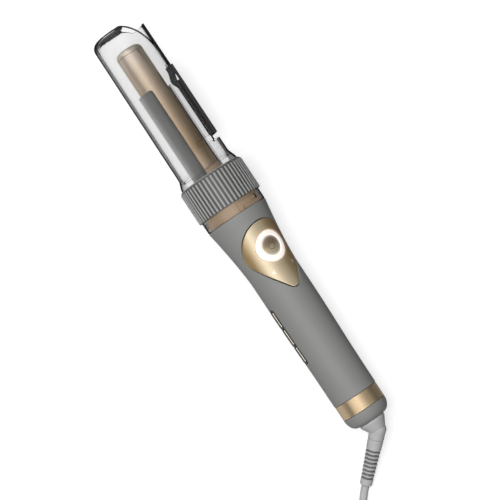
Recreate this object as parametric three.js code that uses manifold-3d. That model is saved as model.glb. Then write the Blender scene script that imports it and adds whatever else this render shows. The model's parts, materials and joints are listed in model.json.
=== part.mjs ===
// Automatic curling iron: a clear chamber with a hair slot, a heated barrel with two wrapping bars
// that a motor turns, a ribbed locking ring, a grey handle with a rocking direction plate and a lit
// power button, three side keys, and a swivelling mains lead.
//
// Millimetres, +Z up. The iron lies on a flat surface at z = 0 on its ribbed ring and its end cap,
// with its tip towards +Y. Inside the iron's own group the axis is +Y and heights count from the
// end of the handle. Angles round the axis are in degrees, 0 at the top, growing towards +X.

import * as THREE from 'three';
import { mergeVertices } from 'three/addons/utils/BufferGeometryUtils.js';
import Module from 'manifold-3d';

const wasm = await Module();
wasm.setup();

// Clearances
const seatGap = 0.3; // between pieces that rest on or in each other
const slideGap = 0.35; // round a key or button that slides
const grooveGap = 0.7; // round the rocking plate
const runningGap = 0.4; // between turning pieces and what carries them
const pressRoom = 0.3; // left under a pressed key
const cutPast = 1; // cutters run this far past what they cut
const beyond = 60; // further from the axis than any surface of the iron

// Handle
const capLength = 10;
const capMouthRadius = 11.2;
const bandLength = 12.1;
const bandRadius = 18;
const bandWall = 1.1;
const gripLength = 160.3;
const gripRadius = 18.2;
const palmRadius = 19.3;
const headRadius = 25.2;
const palmHeight = 110;
const headStart = 130;
const shellWall = 2.2;
const partingLeft = -98;
const partingRight = 108;

// Neck, clear collar and ribbed ring
const collarLength = 9.2;
const collarRadius = 25.1;
const chamberSeatRadius = 24.5;
const neckRadius = 22.9;
const neckWall = 2.5;
const neckSpigot = 4.1;
const ringLength = 28;
const ringRadius = 27;
const ribDepth = 0.95;
const ribCount = 50;
const ribShare = 0.46; // of the pitch, at the tips
const ringTopBevel = 2.2;
const ringLowBevel = 0.8;
const ringShoulder = 1; // flat of the ring's lower face, outside the collar
const studRadius = 1.6;
const studAngles = [-70, 50, 170];
const unlockTurn = 35;

// Clear chamber
const chamberLength = 130;
const flareLength = 9.3;
const chamberFootRadius = 22.1;
const chamberTipRadius = 21.5;
const chamberWall = 1.5;
const domeCorner = 6.5;
const domeCrown = 0.4;
const ledgeRadius = 18.9;
const ledgeLength = 3;
const mouthLow = 31.5; // the mouth's lower end, below the crest
const mouthLeft = -4;
const mouthRight = 19.3;
const backWallDrop = 7; // the flat top of the back wall, below the crest
const slotFront = 65;
const slotBack = 92;
const lowSlotFront = 57;
const footSlotFront = 12;
const footSlotHeight = 4.2;
const footSlotLow = 19.8; // above the ring

// Hair guide
const guideBack = 123;
const guideThickness = 3;
const guideProud = 0.9; // outside the chamber
const guideLow = 24.3; // above the ring
const guideLength = 47;
const hookLength = 14.6;
const hookReach = 14.3; // from the axis to the hook's nose
const hookDepth = 2.7;
const hookInset = 0.6;
const hookTip = 2.8; // height of the hook's nose
const hookBevel = 2;
const hookCrown = 3;
const hookWall = 1.6; // outside the hook's eye
const eyeHeight = 6.8;
const eyeWidth = 1.7;
const rampDrop = 5;
const rampWidth = 3;

// Rotor
const barrelRadius = 10.9;
const barrelWall = 1;
const barrelLength = 104.5;
const barrelCapLength = 5;
const barInner = 11.8;
const barWall = 1.3;
const frontBarTop = 78.3; // above the turntable
const rearBarTop = 75.3;
const frontBar = [-95, -5];
const rearBar = [88, 178];
const barCorner = 2.5;
const turntableRadius = 18.4;
const turntableThickness = 4;
const baseCollarRadius = 11.4;
const baseCollarLength = 5;
const barrelSpigot = 5;
const journalRadius = 5.9;
const bossRadius = 8.6;
const bushWall = 2.1;
const rotorBore = 4.5;

// Gears and motor
const gearModule = 0.8;
const rotorTeeth = 24;
const pinionTeeth = 10;
const gearWidth = 6;
const toothBacklash = 0.25;
const motorRadius = 6;
const motorLength = 20.5;
const shaftRadius = 1.5;
const deckThickness = 2.4;
const neckCapThickness = 5.5;

// Heater
const stemRadius = 4;
const stemBore = 2.5;
const heaterGap = 0.5;
const elementThickness = 2.4;
const elementHalfWidth = 6.5;

// Direction plate, light ring and power button
const plateAngle = 28;
const plateLength = 56;
const plateDrop = 11.9; // from the handle's upper end
const plateArc = 26.2;
const plateFlank = 0.74; // half width gained for each millimetre of height
const plateNose = 5;
const plateThickness = 2;
const plateBlend = 3;
const buttonDrop = 20.8; // from the plate's upper end to the button's centre
const buttonRadius = 8.2;
const buttonFloor = 16.6;
const buttonTravel = 0.8;
const lightWidth = 3.3;
const seatWall = 1.3;
const pivotReach = 14;
const pivotRadius = 1.5;
const lugWidth = 3.2;
const lugThickness = 3.4;
const lugDepth = 2.1; // under the pivot's axis
const lugInset = 3.5; // from the plate's ends
const switchDrop = 11.7; // from the button's centre to the direction switches
const switchReach = 11; // from the plate's middle line
const switchHalf = 2.2;
const switchLift = 1.6;
const padRadius = 1.2;
const padGap = 0.45; // taken up as the plate rocks

// Side keys
const keyAngle = -75;
const keyCount = 3;
const keyPitch = 15.6;
const keyLength = 13.5;
const keyWidth = 6.4;
const keyRise = 63.1; // from the gold band to the middle key
const keyTravel = 0.6;
const keyProud = 0.25;
const keyFlange = 0.9;
const inlayWidth = 9.6;
const inlayEnd = 1.55; // beyond the outer keys
const inlaySunk = 0.35;
const inlayFloor = 15.9;
const inlayLeg = 1;
const keyFloor = 14.3;
const keyBoardThickness = 1.2;
const keyBoardHalfWidth = 4.4;
const keySwitchHalf = 2;
const keySwitchLift = 0.9;

// Inner frame and boards, measured from the axis towards the plate
const trayLevel = 3.4;
const trayThickness = 1.7;
const trayHalfWidth = 13;
const trayRise = 3.9; // from the gold band
const boardThickness = 1.6;
const boardHalfWidth = 12;
const boardRise = 11.9; // from the gold band
const boardEnd = 10; // from the frame's deck
const screwPlaces = [0.143, 0.424, 0.735]; // along the grip
const screwRadius = 1.3;
const screwHead = 2.7;
const screwHeadHeight = 1.9;
const screwBoss = 3.2;
const screwBossLevel = -4;
const screwSeatLevel = -13.3;

// Swivel, strain relief and mains lead
const swivelFlangeRadius = 11.6;
const swivelFlange = 2.3;
const swivelNeckRadius = 8.9;
const swivelWall = 3.5;
const stubLength = 8;
const stubRadius = 10.4;
const elbowRadius = 6.4;
const bootLength = 37;
const bootRadius = 6;
const bootTipRadius = 4.6;
const bootGrooves = 6;
const bootGrooveDepth = 1.1;
const bootGrooveWidth = 2.2;
const bootTurn = 45;
const bootDrop = 15;
const cordRadius = 3;
const coilTurns = 7 + 1 / 12; // the last twelfth leads the tail towards the plug
const coilInner = 24.2;
const coilPitch = 6.65;
const coilLayer = 6.6;
const coilRise = 0.9; // the tie passes under the coil
const coilCentre = new THREE.Vector2(-20.4, -299.5);
const loopSteps = 24;
const tieThickness = 0.6;
const tieHalfWidth = 4;
const tailReach = 17.5; // along the iron's axis, from the coil to the plug
const plugLength = 30;
const plugHalfWidth = 17.65;
const plugHalfHeight = 6.85;
const plugShoulder = 17; // the tapered part of the plug's length
const pinRadius = 2;
const pinLength = 19;
const pinSpacing = 18.6;

// Heights that follow from the lengths
const bandTop = capLength + bandLength;
const handleTop = bandTop + gripLength;
const ringLow = handleTop + collarLength;
const ringTop = ringLow + ringLength;
const flareTop = ringTop + flareLength;
const crest = ringTop + chamberLength;
const neckInner = neckRadius - neckWall;
const collarLow = handleTop + seatGap;
const neckTop = ringTop - 6.1;
const turntableLow = neckTop + runningGap;
const turntableTop = turntableLow + turntableThickness;
const baseCollarTop = turntableTop + baseCollarLength;
const barrelLow = baseCollarTop + seatGap;
const barrelTop = barrelLow + barrelLength;
const deckLow = handleTop + 3.6;
const deckTop = deckLow + deckThickness;
const gearLow = deckTop + 2.4;
const neckCapTop = turntableLow - 2.2;
const neckCapLow = neckCapTop - neckCapThickness;
const gearCentres = (gearModule * (rotorTeeth + pinionTeeth)) / 2;
const plateHigh = handleTop - plateDrop;
const plateLow = plateHigh - plateLength;
const buttonHeight = plateHigh - buttonDrop;
const keyCentre = bandTop + keyRise;
const trayLow = bandTop + trayRise;
const boardLow = bandTop + boardRise;
const boardHigh = deckLow - boardEnd;
const screwHeights = screwPlaces.map((share) => bandTop + gripLength * share);
const inlayLength = (keyCount - 1) * keyPitch + keyLength + 2 * inlayEnd;

const degrees = THREE.MathUtils.degToRad;

// Solids

// Drops everything but the corners, welds them, removes flat triangles and turns the faces outwards
function clean(geometry) {
  const bare = new THREE.BufferGeometry();
  bare.setAttribute('position', geometry.getAttribute('position').clone());
  if (geometry.index) bare.setIndex(geometry.index.clone());
  const merged = mergeVertices(bare, 1e-4);
  const at = merged.getAttribute('position');
  const all = merged.index.array;
  const kept = [];
  let volume = 0;
  const a = new THREE.Vector3();
  const b = new THREE.Vector3();
  const c = new THREE.Vector3();
  for (let i = 0; i < all.length; i += 3) {
    const [p, q, r] = [all[i], all[i + 1], all[i + 2]];
    if (p === q || q === r || r === p) continue;
    a.fromBufferAttribute(at, p);
    b.fromBufferAttribute(at, q);
    c.fromBufferAttribute(at, r);
    volume += a.dot(b.cross(c));
    kept.push(p, q, r);
  }
  if (volume < 0) kept.reverse();
  merged.setIndex(kept);
  return merged;
}

function toSolid(geometry) {
  const tidy = clean(geometry);
  return new wasm.Manifold(
    new wasm.Mesh({
      numProp: 3,
      vertProperties: new Float32Array(tidy.getAttribute('position').array),
      triVerts: new Uint32Array(tidy.index.array),
    }),
  );
}

function toGeometry(solid) {
  const mesh = solid.getMesh();
  const geometry = new THREE.BufferGeometry();
  geometry.setAttribute('position', new THREE.BufferAttribute(mesh.vertProperties, 3));
  geometry.setIndex(new THREE.BufferAttribute(mesh.triVerts, 1));
  return geometry;
}

function join(first, ...others) {
  return toGeometry(others.reduce((solid, other) => solid.add(toSolid(other)), toSolid(first)));
}

function cut(first, ...tools) {
  return toGeometry(tools.reduce((solid, tool) => solid.subtract(toSolid(tool)), toSolid(first)));
}

function common(first, ...others) {
  return toGeometry(others.reduce((solid, other) => solid.intersect(toSolid(other)), toSolid(first)));
}

// A body of revolution round the iron's axis, from [radius, height] pairs
function revolve(profile, sides = 32) {
  const points = profile.map(([radius, height]) => new THREE.Vector2(radius, height));
  return new THREE.LatheGeometry(points, sides);
}

function tube(outer, inner, low, high, sides = 32) {
  return revolve([[inner, low], [outer, low], [outer, high], [inner, high], [inner, low]], sides);
}

function disc(radius, low, high, sides = 32) {
  return revolve([[0, low], [radius, low], [radius, high], [0, high]], sides);
}

function block(x, y, z) {
  const geometry = new THREE.BoxGeometry(x[1] - x[0], y[1] - y[0], z[1] - z[0]);
  return geometry.translate((x[0] + x[1]) / 2, (y[0] + y[1]) / 2, (z[0] + z[1]) / 2);
}

// A pin that stands along +Z
function post(radius, x, y, low, high, sides = 14) {
  return disc(radius, low, high, sides).rotateX(Math.PI / 2).translate(x, y, 0);
}

// An outline in x and height, given a depth along z
function slab(shape, low, high, curveSegments = 8) {
  const options = { depth: high - low, bevelEnabled: false, curveSegments };
  return new THREE.ExtrudeGeometry(shape, options).translate(0, 0, low);
}

// An outline in x and z, given a height along the axis
function column(shape, low, high, curveSegments = 8) {
  return slab(shape, -high, -low, curveSegments).rotateX(Math.PI / 2);
}

// A wedge of a pie round the axis
function sector(from, to, reach, low, high) {
  const steps = Math.max(2, Math.ceil((to - from) / 15));
  const shape = new THREE.Shape();
  shape.moveTo(0, 0);
  for (let i = 0; i <= steps; i += 1) {
    const angle = degrees(from + ((to - from) * i) / steps);
    shape.lineTo(reach * Math.sin(angle), reach * Math.cos(angle));
  }
  shape.closePath();
  return column(shape, low, high);
}

function roundedOutline(halfWidth, halfLength, corner) {
  const shape = new THREE.Shape();
  shape.moveTo(-halfWidth + corner, -halfLength);
  shape.absarc(halfWidth - corner, -halfLength + corner, corner, -Math.PI / 2, 0);
  shape.absarc(halfWidth - corner, halfLength - corner, corner, 0, Math.PI / 2);
  shape.absarc(-halfWidth + corner, halfLength - corner, corner, Math.PI / 2, Math.PI);
  shape.absarc(-halfWidth + corner, -halfLength + corner, corner, Math.PI, 1.5 * Math.PI);
  return shape;
}

function turned(geometry, angle) {
  return geometry.rotateY(degrees(angle));
}

// Equal steps from one height to another, no longer than the step asked for
function stations(low, high, step) {
  const count = Math.ceil((high - low) / step);
  return Array.from({ length: count + 1 }, (_, i) => low + ((high - low) * i) / count);
}

// Points on an arc in radius and height
function arc(centreRadius, centreHeight, radius, from, to, steps) {
  return Array.from({ length: steps + 1 }, (_, i) => {
    const angle = degrees(from + ((to - from) * i) / steps);
    return [centreRadius + radius * Math.cos(angle), centreHeight + radius * Math.sin(angle)];
  });
}

// A tube of round sections along a row of points, with a radius at each, closed at both ends
function sweep(points, radiusAt, sides) {
  const positions = [];
  const index = [];
  const side = new THREE.Vector3();
  const up = new THREE.Vector3();
  const along = new THREE.Vector3();
  const start = points[1].clone().sub(points[0]).normalize();
  side.crossVectors(start, new THREE.Vector3(0, 0, 1)).normalize();
  points.forEach((point, i) => {
    const before = points[Math.max(i - 1, 0)];
    const after = points[Math.min(i + 1, points.length - 1)];
    along.subVectors(after, before).normalize();
    side.addScaledVector(along, -side.dot(along)).normalize();
    up.crossVectors(along, side);
    for (let k = 0; k < sides; k += 1) {
      const angle = (2 * Math.PI * (k + 0.5)) / sides;
      const corner = point.clone();
      corner.addScaledVector(side, radiusAt(i) * Math.cos(angle));
      corner.addScaledVector(up, radiusAt(i) * Math.sin(angle));
      positions.push(...corner.toArray());
    }
  });
  for (let i = 0; i + 1 < points.length; i += 1) {
    for (let k = 0; k < sides; k += 1) {
      const a = i * sides + k;
      const b = i * sides + ((k + 1) % sides);
      index.push(a, b, b + sides, a, b + sides, a + sides);
    }
  }
  const last = (points.length - 1) * sides;
  for (let k = 1; k + 1 < sides; k += 1) {
    index.push(0, k + 1, k, last, last + k, last + k + 1);
  }
  const geometry = new THREE.BufferGeometry();
  geometry.setAttribute('position', new THREE.Float32BufferAttribute(positions, 3));
  geometry.setIndex(index);
  return geometry;
}

// A spur gear blank with straight-flanked teeth, one tooth centred on angle 0
function gear(teeth, low, high, turn) {
  const pitch = (gearModule * teeth) / 2;
  const tip = pitch + gearModule;
  const root = pitch - 1.25 * gearModule;
  const toothAngle = (2 * Math.PI) / teeth;
  const half = toothAngle / 4 - toothBacklash / 2 / pitch;
  const corners = [
    [root, -half * 1.55],
    [tip, -half * 0.5],
    [tip, half * 0.5],
    [root, half * 1.55],
  ];
  const shape = new THREE.Shape();
  for (let tooth = 0; tooth < teeth; tooth += 1) {
    corners.forEach(([radius, offset], k) => {
      const angle = tooth * toothAngle + offset + degrees(turn);
      const x = radius * Math.sin(angle);
      const z = radius * Math.cos(angle);
      if (tooth === 0 && k === 0) shape.moveTo(x, z);
      else shape.lineTo(x, z);
    });
  }
  shape.closePath();
  return column(shape, low, high);
}

// The handle's outside radius at a height
function handleRadius(height) {
  const palm = THREE.MathUtils.smoothstep(height, bandTop + 12, palmHeight);
  const head = THREE.MathUtils.clamp((height - headStart) / (handleTop - headStart), 0, 1);
  return gripRadius + (palmRadius - gripRadius) * palm + (headRadius - palmRadius) * head ** 1.5;
}

// The space inside the handle's outer surface, moved out or in by an offset
function handleEnvelope(low, high, offset = 0, step = 8) {
  const outer = stations(low, high, step).map((height) => [handleRadius(height) + offset, height]);
  return revolve([[0, low], ...outer, [0, high]], 40);
}

// The direction plate's half width, measured on the surface, at a height
function plateHalfWidth(height, margin = 0) {
  const lean = Math.atan(plateFlank);
  const noseRadius = plateNose + margin;
  const noseCentre = plateLow + plateNose;
  const arcRadius = plateArc + margin;
  const arcCentre = plateHigh - plateArc;
  const joinHeight = noseCentre - noseRadius * Math.sin(lean);
  const onNose = Math.sqrt(Math.max(noseRadius ** 2 - (height - noseCentre) ** 2, 0));
  if (height < joinHeight) return onNose;
  const flank = noseRadius * Math.cos(lean) + plateFlank * (height - joinHeight);
  const overCentre = Math.max(height - arcCentre, 0);
  const onArc = Math.sqrt(Math.max(arcRadius ** 2 - overCentre ** 2, 0));
  const blend = Math.max(plateBlend - Math.abs(flank - onArc), 0) / plateBlend;
  return Math.max(Math.min(flank, onArc) - (blend ** 2 * plateBlend) / 4, 0);
}

// The plate's outline wrapped round the handle, between two depths under its surface
function wrappedPlate(margin, outerDepth, innerDepth) {
  const columns = 8;
  const rows = 16;
  const low = plateLow - margin;
  const high = plateHigh + margin;
  const positions = [];
  for (const depth of [outerDepth, innerDepth]) {
    for (let row = 0; row <= rows; row += 1) {
      const height = low + ((high - low) * (1 - Math.cos((Math.PI * row) / rows))) / 2;
      const surface = handleRadius(height);
      const half = row === 0 || row === rows ? 0 : plateHalfWidth(height, margin) / surface;
      for (let k = 0; k <= columns; k += 1) {
        const angle = half * ((2 * k) / columns - 1);
        const radius = surface - depth;
        positions.push(radius * Math.sin(angle), height, radius * Math.cos(angle));
      }
    }
  }
  const across = columns + 1;
  const inside = across * (rows + 1);
  const index = [];
  const quad = (a, b, c, d) => index.push(a, b, c, a, c, d);
  for (let row = 0; row < rows; row += 1) {
    for (let k = 0; k < columns; k += 1) {
      const a = row * across + k;
      quad(a, a + 1, a + 1 + across, a + across);
      quad(inside + a, inside + a + across, inside + a + 1 + across, inside + a + 1);
    }
    const left = row * across;
    const right = left + columns;
    quad(left, left + across, inside + left + across, inside + left);
    quad(right, inside + right, inside + right + across, right + across);
  }
  const geometry = new THREE.BufferGeometry();
  geometry.setAttribute('position', new THREE.Float32BufferAttribute(positions, 3));
  geometry.setIndex(index);
  return geometry;
}

// Materials

const finish = {
  softGrey: { color: 0x8a8b89, roughness: 0.62, metalness: 0 },
  ribGrey: { color: 0x6d6d6d, roughness: 0.45, metalness: 0 },
  gold: { color: 0xcbb48e, roughness: 0.28, metalness: 1 },
  barrelGold: { color: 0xc9b295, roughness: 0.38, metalness: 1 },
  barGrey: { color: 0x7b7d7a, roughness: 0.5, metalness: 0 },
  clear: { color: 0xe9ecec, roughness: 0.06, metalness: 0, transparent: true, opacity: 0.3 },
  black: { color: 0x1b1b1c, roughness: 0.4, metalness: 0 },
  light: { color: 0xffffff, roughness: 0.4, metalness: 0, emissive: 0xfff4e6 },
  cordGrey: { color: 0xb4b5b4, roughness: 0.55, metalness: 0 },
  steel: { color: 0xb9bcc0, roughness: 0.3, metalness: 1 },
  brass: { color: 0xb58f4a, roughness: 0.35, metalness: 1 },
  board: { color: 0x2f6b45, roughness: 0.6, metalness: 0 },
  nylon: { color: 0xe8e6de, roughness: 0.55, metalness: 0 },
  ceramic: { color: 0xf1efe9, roughness: 0.7, metalness: 0 },
};

function piece(parent, name, geometry, look) {
  const mesh = new THREE.Mesh(clean(geometry), new THREE.MeshStandardMaterial(finish[look]));
  mesh.name = name;
  parent.add(mesh);
  return mesh;
}

// Groups: the lead lies on the surface, and the iron is tilted so that ring and cap both rest
const assembly = new THREE.Group();
const iron = new THREE.Group();
const front = new THREE.Group(); // its +Z points at the middle of the direction plate
const side = new THREE.Group(); // its +Z points at the side keys
front.rotation.y = degrees(plateAngle);
side.rotation.y = degrees(keyAngle);
assembly.add(iron);
iron.add(front, side);

// Handle shells

const shellFoot = bandRadius - bandWall - seatGap;
const shellFootWall = 2.1;
const earStart = grooveGap + seatGap + lugThickness;
const lugEnd = lugInset + lugThickness;
const pinLowSpan = [plateLow - earStart, plateLow + lugEnd];
const pinHighSpan = [plateHigh - lugEnd, plateHigh + earStart];

function handleShell() {
  const low = capLength + seatGap;
  const stepLow = bandTop + seatGap;
  const outer = [...stations(stepLow, headStart, 27), ...stations(headStart, handleTop, 9).slice(1)];
  const inner = [
    ...stations(stepLow + 5, headStart, 40),
    ...stations(headStart, handleTop, 18).slice(1),
  ];
  const footInner = shellFoot - shellFootWall;
  return revolve([
    [footInner, low],
    [shellFoot, low],
    [shellFoot, stepLow],
    ...outer.map((height) => [handleRadius(height), height]),
    ...inner.reverse().map((height) => [handleRadius(height) - shellWall, height]),
    [footInner, stepLow + 1.5],
    [footInner, low],
  ]);
}

// An ear inside the front shell that carries one end of the plate's pivot
function pivotEar(low, high) {
  const top = handleRadius((low + high) / 2) - shellWall / 2;
  return block([-lugWidth, lugWidth], [low, high], [pivotReach - lugDepth, top]);
}

function keyWindow(margin) {
  const outline = roundedOutline(inlayWidth / 2 + margin, inlayLength / 2 + margin, 2.4);
  return slab(outline, inlayFloor, beyond, 3).translate(0, keyCentre, 0);
}

function frontShell() {
  const low = capLength - cutPast;
  const high = handleTop + cutPast;
  const half = common(handleShell(), sector(partingLeft, partingRight, beyond, low, high));
  const ears = [
    pivotEar(pinLowSpan[0], pinLowSpan[0] + lugThickness),
    pivotEar(pinHighSpan[1] - lugThickness, pinHighSpan[1]),
  ].map((ear) => turned(ear, plateAngle));
  const window = turned(wrappedPlate(grooveGap, -3, shellWall + 1), plateAngle);
  const bore = disc(pivotRadius + seatGap, plateLow - 20, plateHigh + 20, 16);
  return cut(
    join(half, ...ears),
    window,
    turned(bore.translate(0, 0, pivotReach), plateAngle),
    turned(keyWindow(seatGap), keyAngle),
  );
}

function rearCover() {
  const low = capLength - cutPast;
  const high = handleTop + cutPast;
  const gapAngle = THREE.MathUtils.radToDeg(0.12 / gripRadius);
  const from = partingRight + gapAngle;
  const to = 360 + partingLeft - gapAngle;
  const half = common(handleShell(), sector(from, to, beyond, low, high));
  const level = screwBossLevel - seatGap;
  const bosses = screwHeights.map((y) => post(screwBoss, 0, y, 1 - handleRadius(y), level));
  const bores = screwHeights.map((y) => post(screwRadius + seatGap, 0, y, -beyond, level + cutPast, 10));
  const sinks = screwHeights.map((y) => post(screwHead + seatGap, 0, y, -beyond, screwSeatLevel, 14));
  return cut(
    join(half, ...bosses.map((boss) => turned(boss, plateAngle))),
    ...[...bores, ...sinks].map((tool) => turned(tool, plateAngle)),
  );
}

piece(iron, 'front_shell', frontShell(), 'softGrey');
piece(iron, 'rear_cover', rearCover(), 'softGrey');
piece(iron, 'gold_band', tube(bandRadius, bandRadius - bandWall, capLength + seatGap, bandTop), 'gold');

screwHeights.forEach((y, i) => {
  const headTop = screwSeatLevel - seatGap;
  const head = post(screwHead, 0, y, headTop - screwHeadHeight, headTop, 12);
  const shank = post(screwRadius, 0, y, headTop - 0.5, 1.5, 8);
  piece(front, `cover_screw_${i + 1}`, join(head, shank), 'steel');
});

// End cap and swivel bearing

const capSpigot = shellFoot - shellFootWall - seatGap;
const capBore = capSpigot - 2.2;
const flangeLow = swivelWall + runningGap;
const flangeTop = flangeLow + swivelFlange;

function endCap() {
  const dome = Array.from({ length: 6 }, (_, i) => {
    const angle = degrees(18 * i);
    const reach = capMouthRadius + (bandRadius - capMouthRadius) * Math.sin(angle);
    return [reach, capLength * (1 - Math.cos(angle))];
  });
  const mouth = swivelNeckRadius + runningGap;
  return revolve([
    [mouth, 0],
    ...dome,
    [capSpigot, capLength],
    [capSpigot, capLength + 8],
    [capBore, capLength + 8],
    [capBore, swivelWall],
    [mouth, swivelWall],
    [mouth, 0],
  ], 24);
}

piece(iron, 'end_cap', endCap(), 'softGrey');
piece(
  iron,
  'swivel_retainer',
  tube(capBore - seatGap, 6, flangeTop + runningGap, flangeTop + runningGap + 3, 24),
  'nylon',
);

// Neck ring, with the studs that the clear chamber locks on

const studHeight = collarLow + 4.9;

function neckRing() {
  const spigotRadius = handleRadius(handleTop - neckSpigot) - shellWall - seatGap;
  const body = revolve([
    [neckInner, handleTop - neckSpigot],
    [spigotRadius, handleTop - neckSpigot],
    [spigotRadius, collarLow],
    [neckRadius, collarLow],
    [neckRadius, neckTop],
    [neckInner, neckTop],
    [neckInner, handleTop - neckSpigot],
  ]);
  const studs = studAngles.map((angle) => {
    const stud = post(studRadius, 0, studHeight, neckRadius - 0.8, collarRadius - 1.1, 12);
    return turned(stud, angle);
  });
  return join(body, ...studs);
}

piece(iron, 'neck_ring', neckRing(), 'gold');

// Inner frame, bearing and boards

function chassis() {
  const deck = disc(neckInner - seatGap, deckLow, deckTop, 28);
  const level = trayLevel + trayThickness;
  const tray = block([-trayHalfWidth, trayHalfWidth], [trayLow, deckLow + 1], [trayLevel, level]);
  const rails = [-1, 1].map((hand) => {
    const x = [8 * hand, 9.6 * hand].sort((a, b) => a - b);
    return block(x, [trayLow, deckLow + 1], [0.4, trayLevel + 0.5]);
  });
  const bosses = screwHeights.map((y) => post(screwBoss, 0, y, screwBossLevel, trayLevel + 0.5));
  const bores = screwHeights.map((y) => post(screwRadius + seatGap, 0, y, screwBossLevel - 1, 2.4, 10));
  const shaftHole = disc(shaftRadius + 0.7, deckLow - 1, deckTop + 1, 20).translate(0, 0, -gearCentres);
  return cut(join(deck, tray, ...rails, ...bosses), ...bores, shaftHole);
}

const boardLevel = trayLevel + trayThickness + seatGap;
const boardTop = boardLevel + boardThickness;
const boardWidth = [-boardHalfWidth, boardHalfWidth];

piece(front, 'chassis', chassis(), 'black');
piece(front, 'main_board', block(boardWidth, [boardLow, boardHigh], [boardLevel, boardTop]), 'board');
piece(
  iron,
  'neck_cap',
  tube(neckInner - seatGap, bossRadius + bushWall + 2 * seatGap, neckCapLow, neckCapTop),
  'black',
);
piece(
  iron,
  'bearing_bush',
  revolve([
    [bossRadius + seatGap, neckCapLow],
    [bossRadius + seatGap + bushWall, neckCapLow],
    [bossRadius + seatGap + bushWall, neckCapTop + seatGap],
    [bossRadius + bushWall + 2, neckCapTop + seatGap],
    [bossRadius + bushWall + 2, neckCapTop + 1.5],
    [bossRadius + seatGap, neckCapTop + 1.5],
    [bossRadius + seatGap, neckCapLow],
  ], 20),
  'brass',
);

// Heater: a hollow stem on the deck carries two half-round blocks with the element between them

const heaterLow = baseCollarTop + 9;
const heaterTop = barrelTop - 6;
const heaterRadius = barrelRadius - barrelWall - heaterGap;

function heaterStem() {
  const flangeRadius = heaterRadius - 0.4;
  return revolve([
    [stemBore, deckTop + seatGap],
    [stemRadius, deckTop + seatGap],
    [stemRadius, heaterLow - 2],
    [flangeRadius, heaterLow - 2],
    [flangeRadius, heaterLow - seatGap],
    [stemBore, heaterLow - seatGap],
    [stemBore, deckTop + seatGap],
  ], 20);
}

function heaterHalf(upwards) {
  const flat = elementThickness / 2 + seatGap;
  const keep = upwards ? [flat, beyond] : [-beyond, -flat];
  const bar = disc(heaterRadius, heaterLow, heaterTop, 24);
  return common(bar, block([-beyond, beyond], [heaterLow - cutPast, heaterTop + cutPast], keep));
}

piece(iron, 'heater_stem', heaterStem(), 'steel');
piece(front, 'heater_block_upper', heaterHalf(true), 'steel');
piece(front, 'heater_block_lower', heaterHalf(false), 'steel');
piece(
  front,
  'heating_element',
  block(
    [-elementHalfWidth, elementHalfWidth],
    [heaterLow + 1, heaterTop - 1],
    [-elementThickness / 2, elementThickness / 2],
  ),
  'ceramic',
);

// Gear motor and its pinion

const motorTop = deckLow - seatGap;

function gearMotor() {
  const low = motorTop - motorLength;
  const gearbox = motorTop - 9;
  return revolve([
    [0, low - 1.2],
    [2, low - 1.2],
    [2, low],
    [motorRadius - 0.4, low],
    [motorRadius - 0.4, gearbox],
    [motorRadius, gearbox],
    [motorRadius, motorTop],
    [0, motorTop],
  ], 18).translate(0, 0, -gearCentres);
}

function motorPinion() {
  const shaft = disc(shaftRadius, motorTop + seatGap, gearLow + gearWidth + 1.2, 12);
  return join(gear(pinionTeeth, gearLow, gearLow + gearWidth, 0), shaft).translate(0, 0, -gearCentres);
}

piece(front, 'gear_motor', gearMotor(), 'steel');
piece(front, 'motor_pinion', motorPinion(), 'nylon');

// Rotor: turntable, gear, barrel and wrapping bars

function turntable() {
  const spigot = barrelRadius - barrelWall - seatGap;
  return revolve([
    [rotorBore, gearLow - 0.3],
    [journalRadius, gearLow - 0.3],
    [journalRadius, gearLow + gearWidth + seatGap],
    [bossRadius, gearLow + gearWidth + seatGap],
    [bossRadius, turntableLow],
    [turntableRadius, turntableLow],
    [turntableRadius, turntableTop],
    [baseCollarRadius, turntableTop],
    [baseCollarRadius, baseCollarTop],
    [spigot, baseCollarTop],
    [spigot, baseCollarTop + barrelSpigot],
    [rotorBore, baseCollarTop + barrelSpigot],
    [rotorBore, gearLow - 0.3],
  ], 24);
}

function rotorGear() {
  const turn = 180 / rotorTeeth;
  const blank = gear(rotorTeeth, gearLow, gearLow + gearWidth, turn);
  return cut(blank, disc(journalRadius + seatGap, gearLow - 1, gearLow + gearWidth + 1, 24));
}

function barrelCap() {
  const round = barrelCapLength - 0.6;
  const spigot = barrelRadius - barrelWall - seatGap;
  return revolve([
    [0, barrelTop - barrelSpigot],
    [spigot, barrelTop - barrelSpigot],
    [spigot, barrelTop + seatGap],
    [barrelRadius, barrelTop + seatGap],
    ...arc(barrelRadius - round, barrelTop + seatGap + 0.3, round, 0, 90, 4),
    [0, barrelTop + seatGap + barrelCapLength],
  ], 24);
}

// A bar's outline rolled out flat, with rounded upper corners, and cut from a ring of its thickness
function wrapBar([from, to], top) {
  const low = turntableTop + seatGap;
  const high = turntableTop + top;
  const middle = (from + to) / 2;
  const outer = barInner + barWall;
  const reach = outer * Math.sin(degrees((to - from) / 2));
  const ring = tube(outer, barInner, low, high, 24);
  const outline = new THREE.Shape();
  outline.moveTo(-reach, low - 1);
  outline.lineTo(reach, low - 1);
  outline.absarc(reach - barCorner, high - barCorner, barCorner, 0, Math.PI / 2);
  outline.absarc(-reach + barCorner, high - barCorner, barCorner, Math.PI / 2, Math.PI);
  return turned(common(ring, slab(outline, 0, beyond)), middle);
}

piece(iron, 'turntable', turntable(), 'gold');
piece(front, 'rotor_gear', rotorGear(), 'nylon');
piece(
  iron,
  'barrel_tube',
  tube(barrelRadius, barrelRadius - barrelWall, barrelLow, barrelTop, 24),
  'barrelGold',
);
piece(iron, 'barrel_cap', barrelCap(), 'barrelGold');
piece(iron, 'wrap_bar_front', wrapBar(frontBar, frontBarTop), 'barGrey');
piece(iron, 'wrap_bar_rear', wrapBar(rearBar, rearBarTop), 'barGrey');

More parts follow.
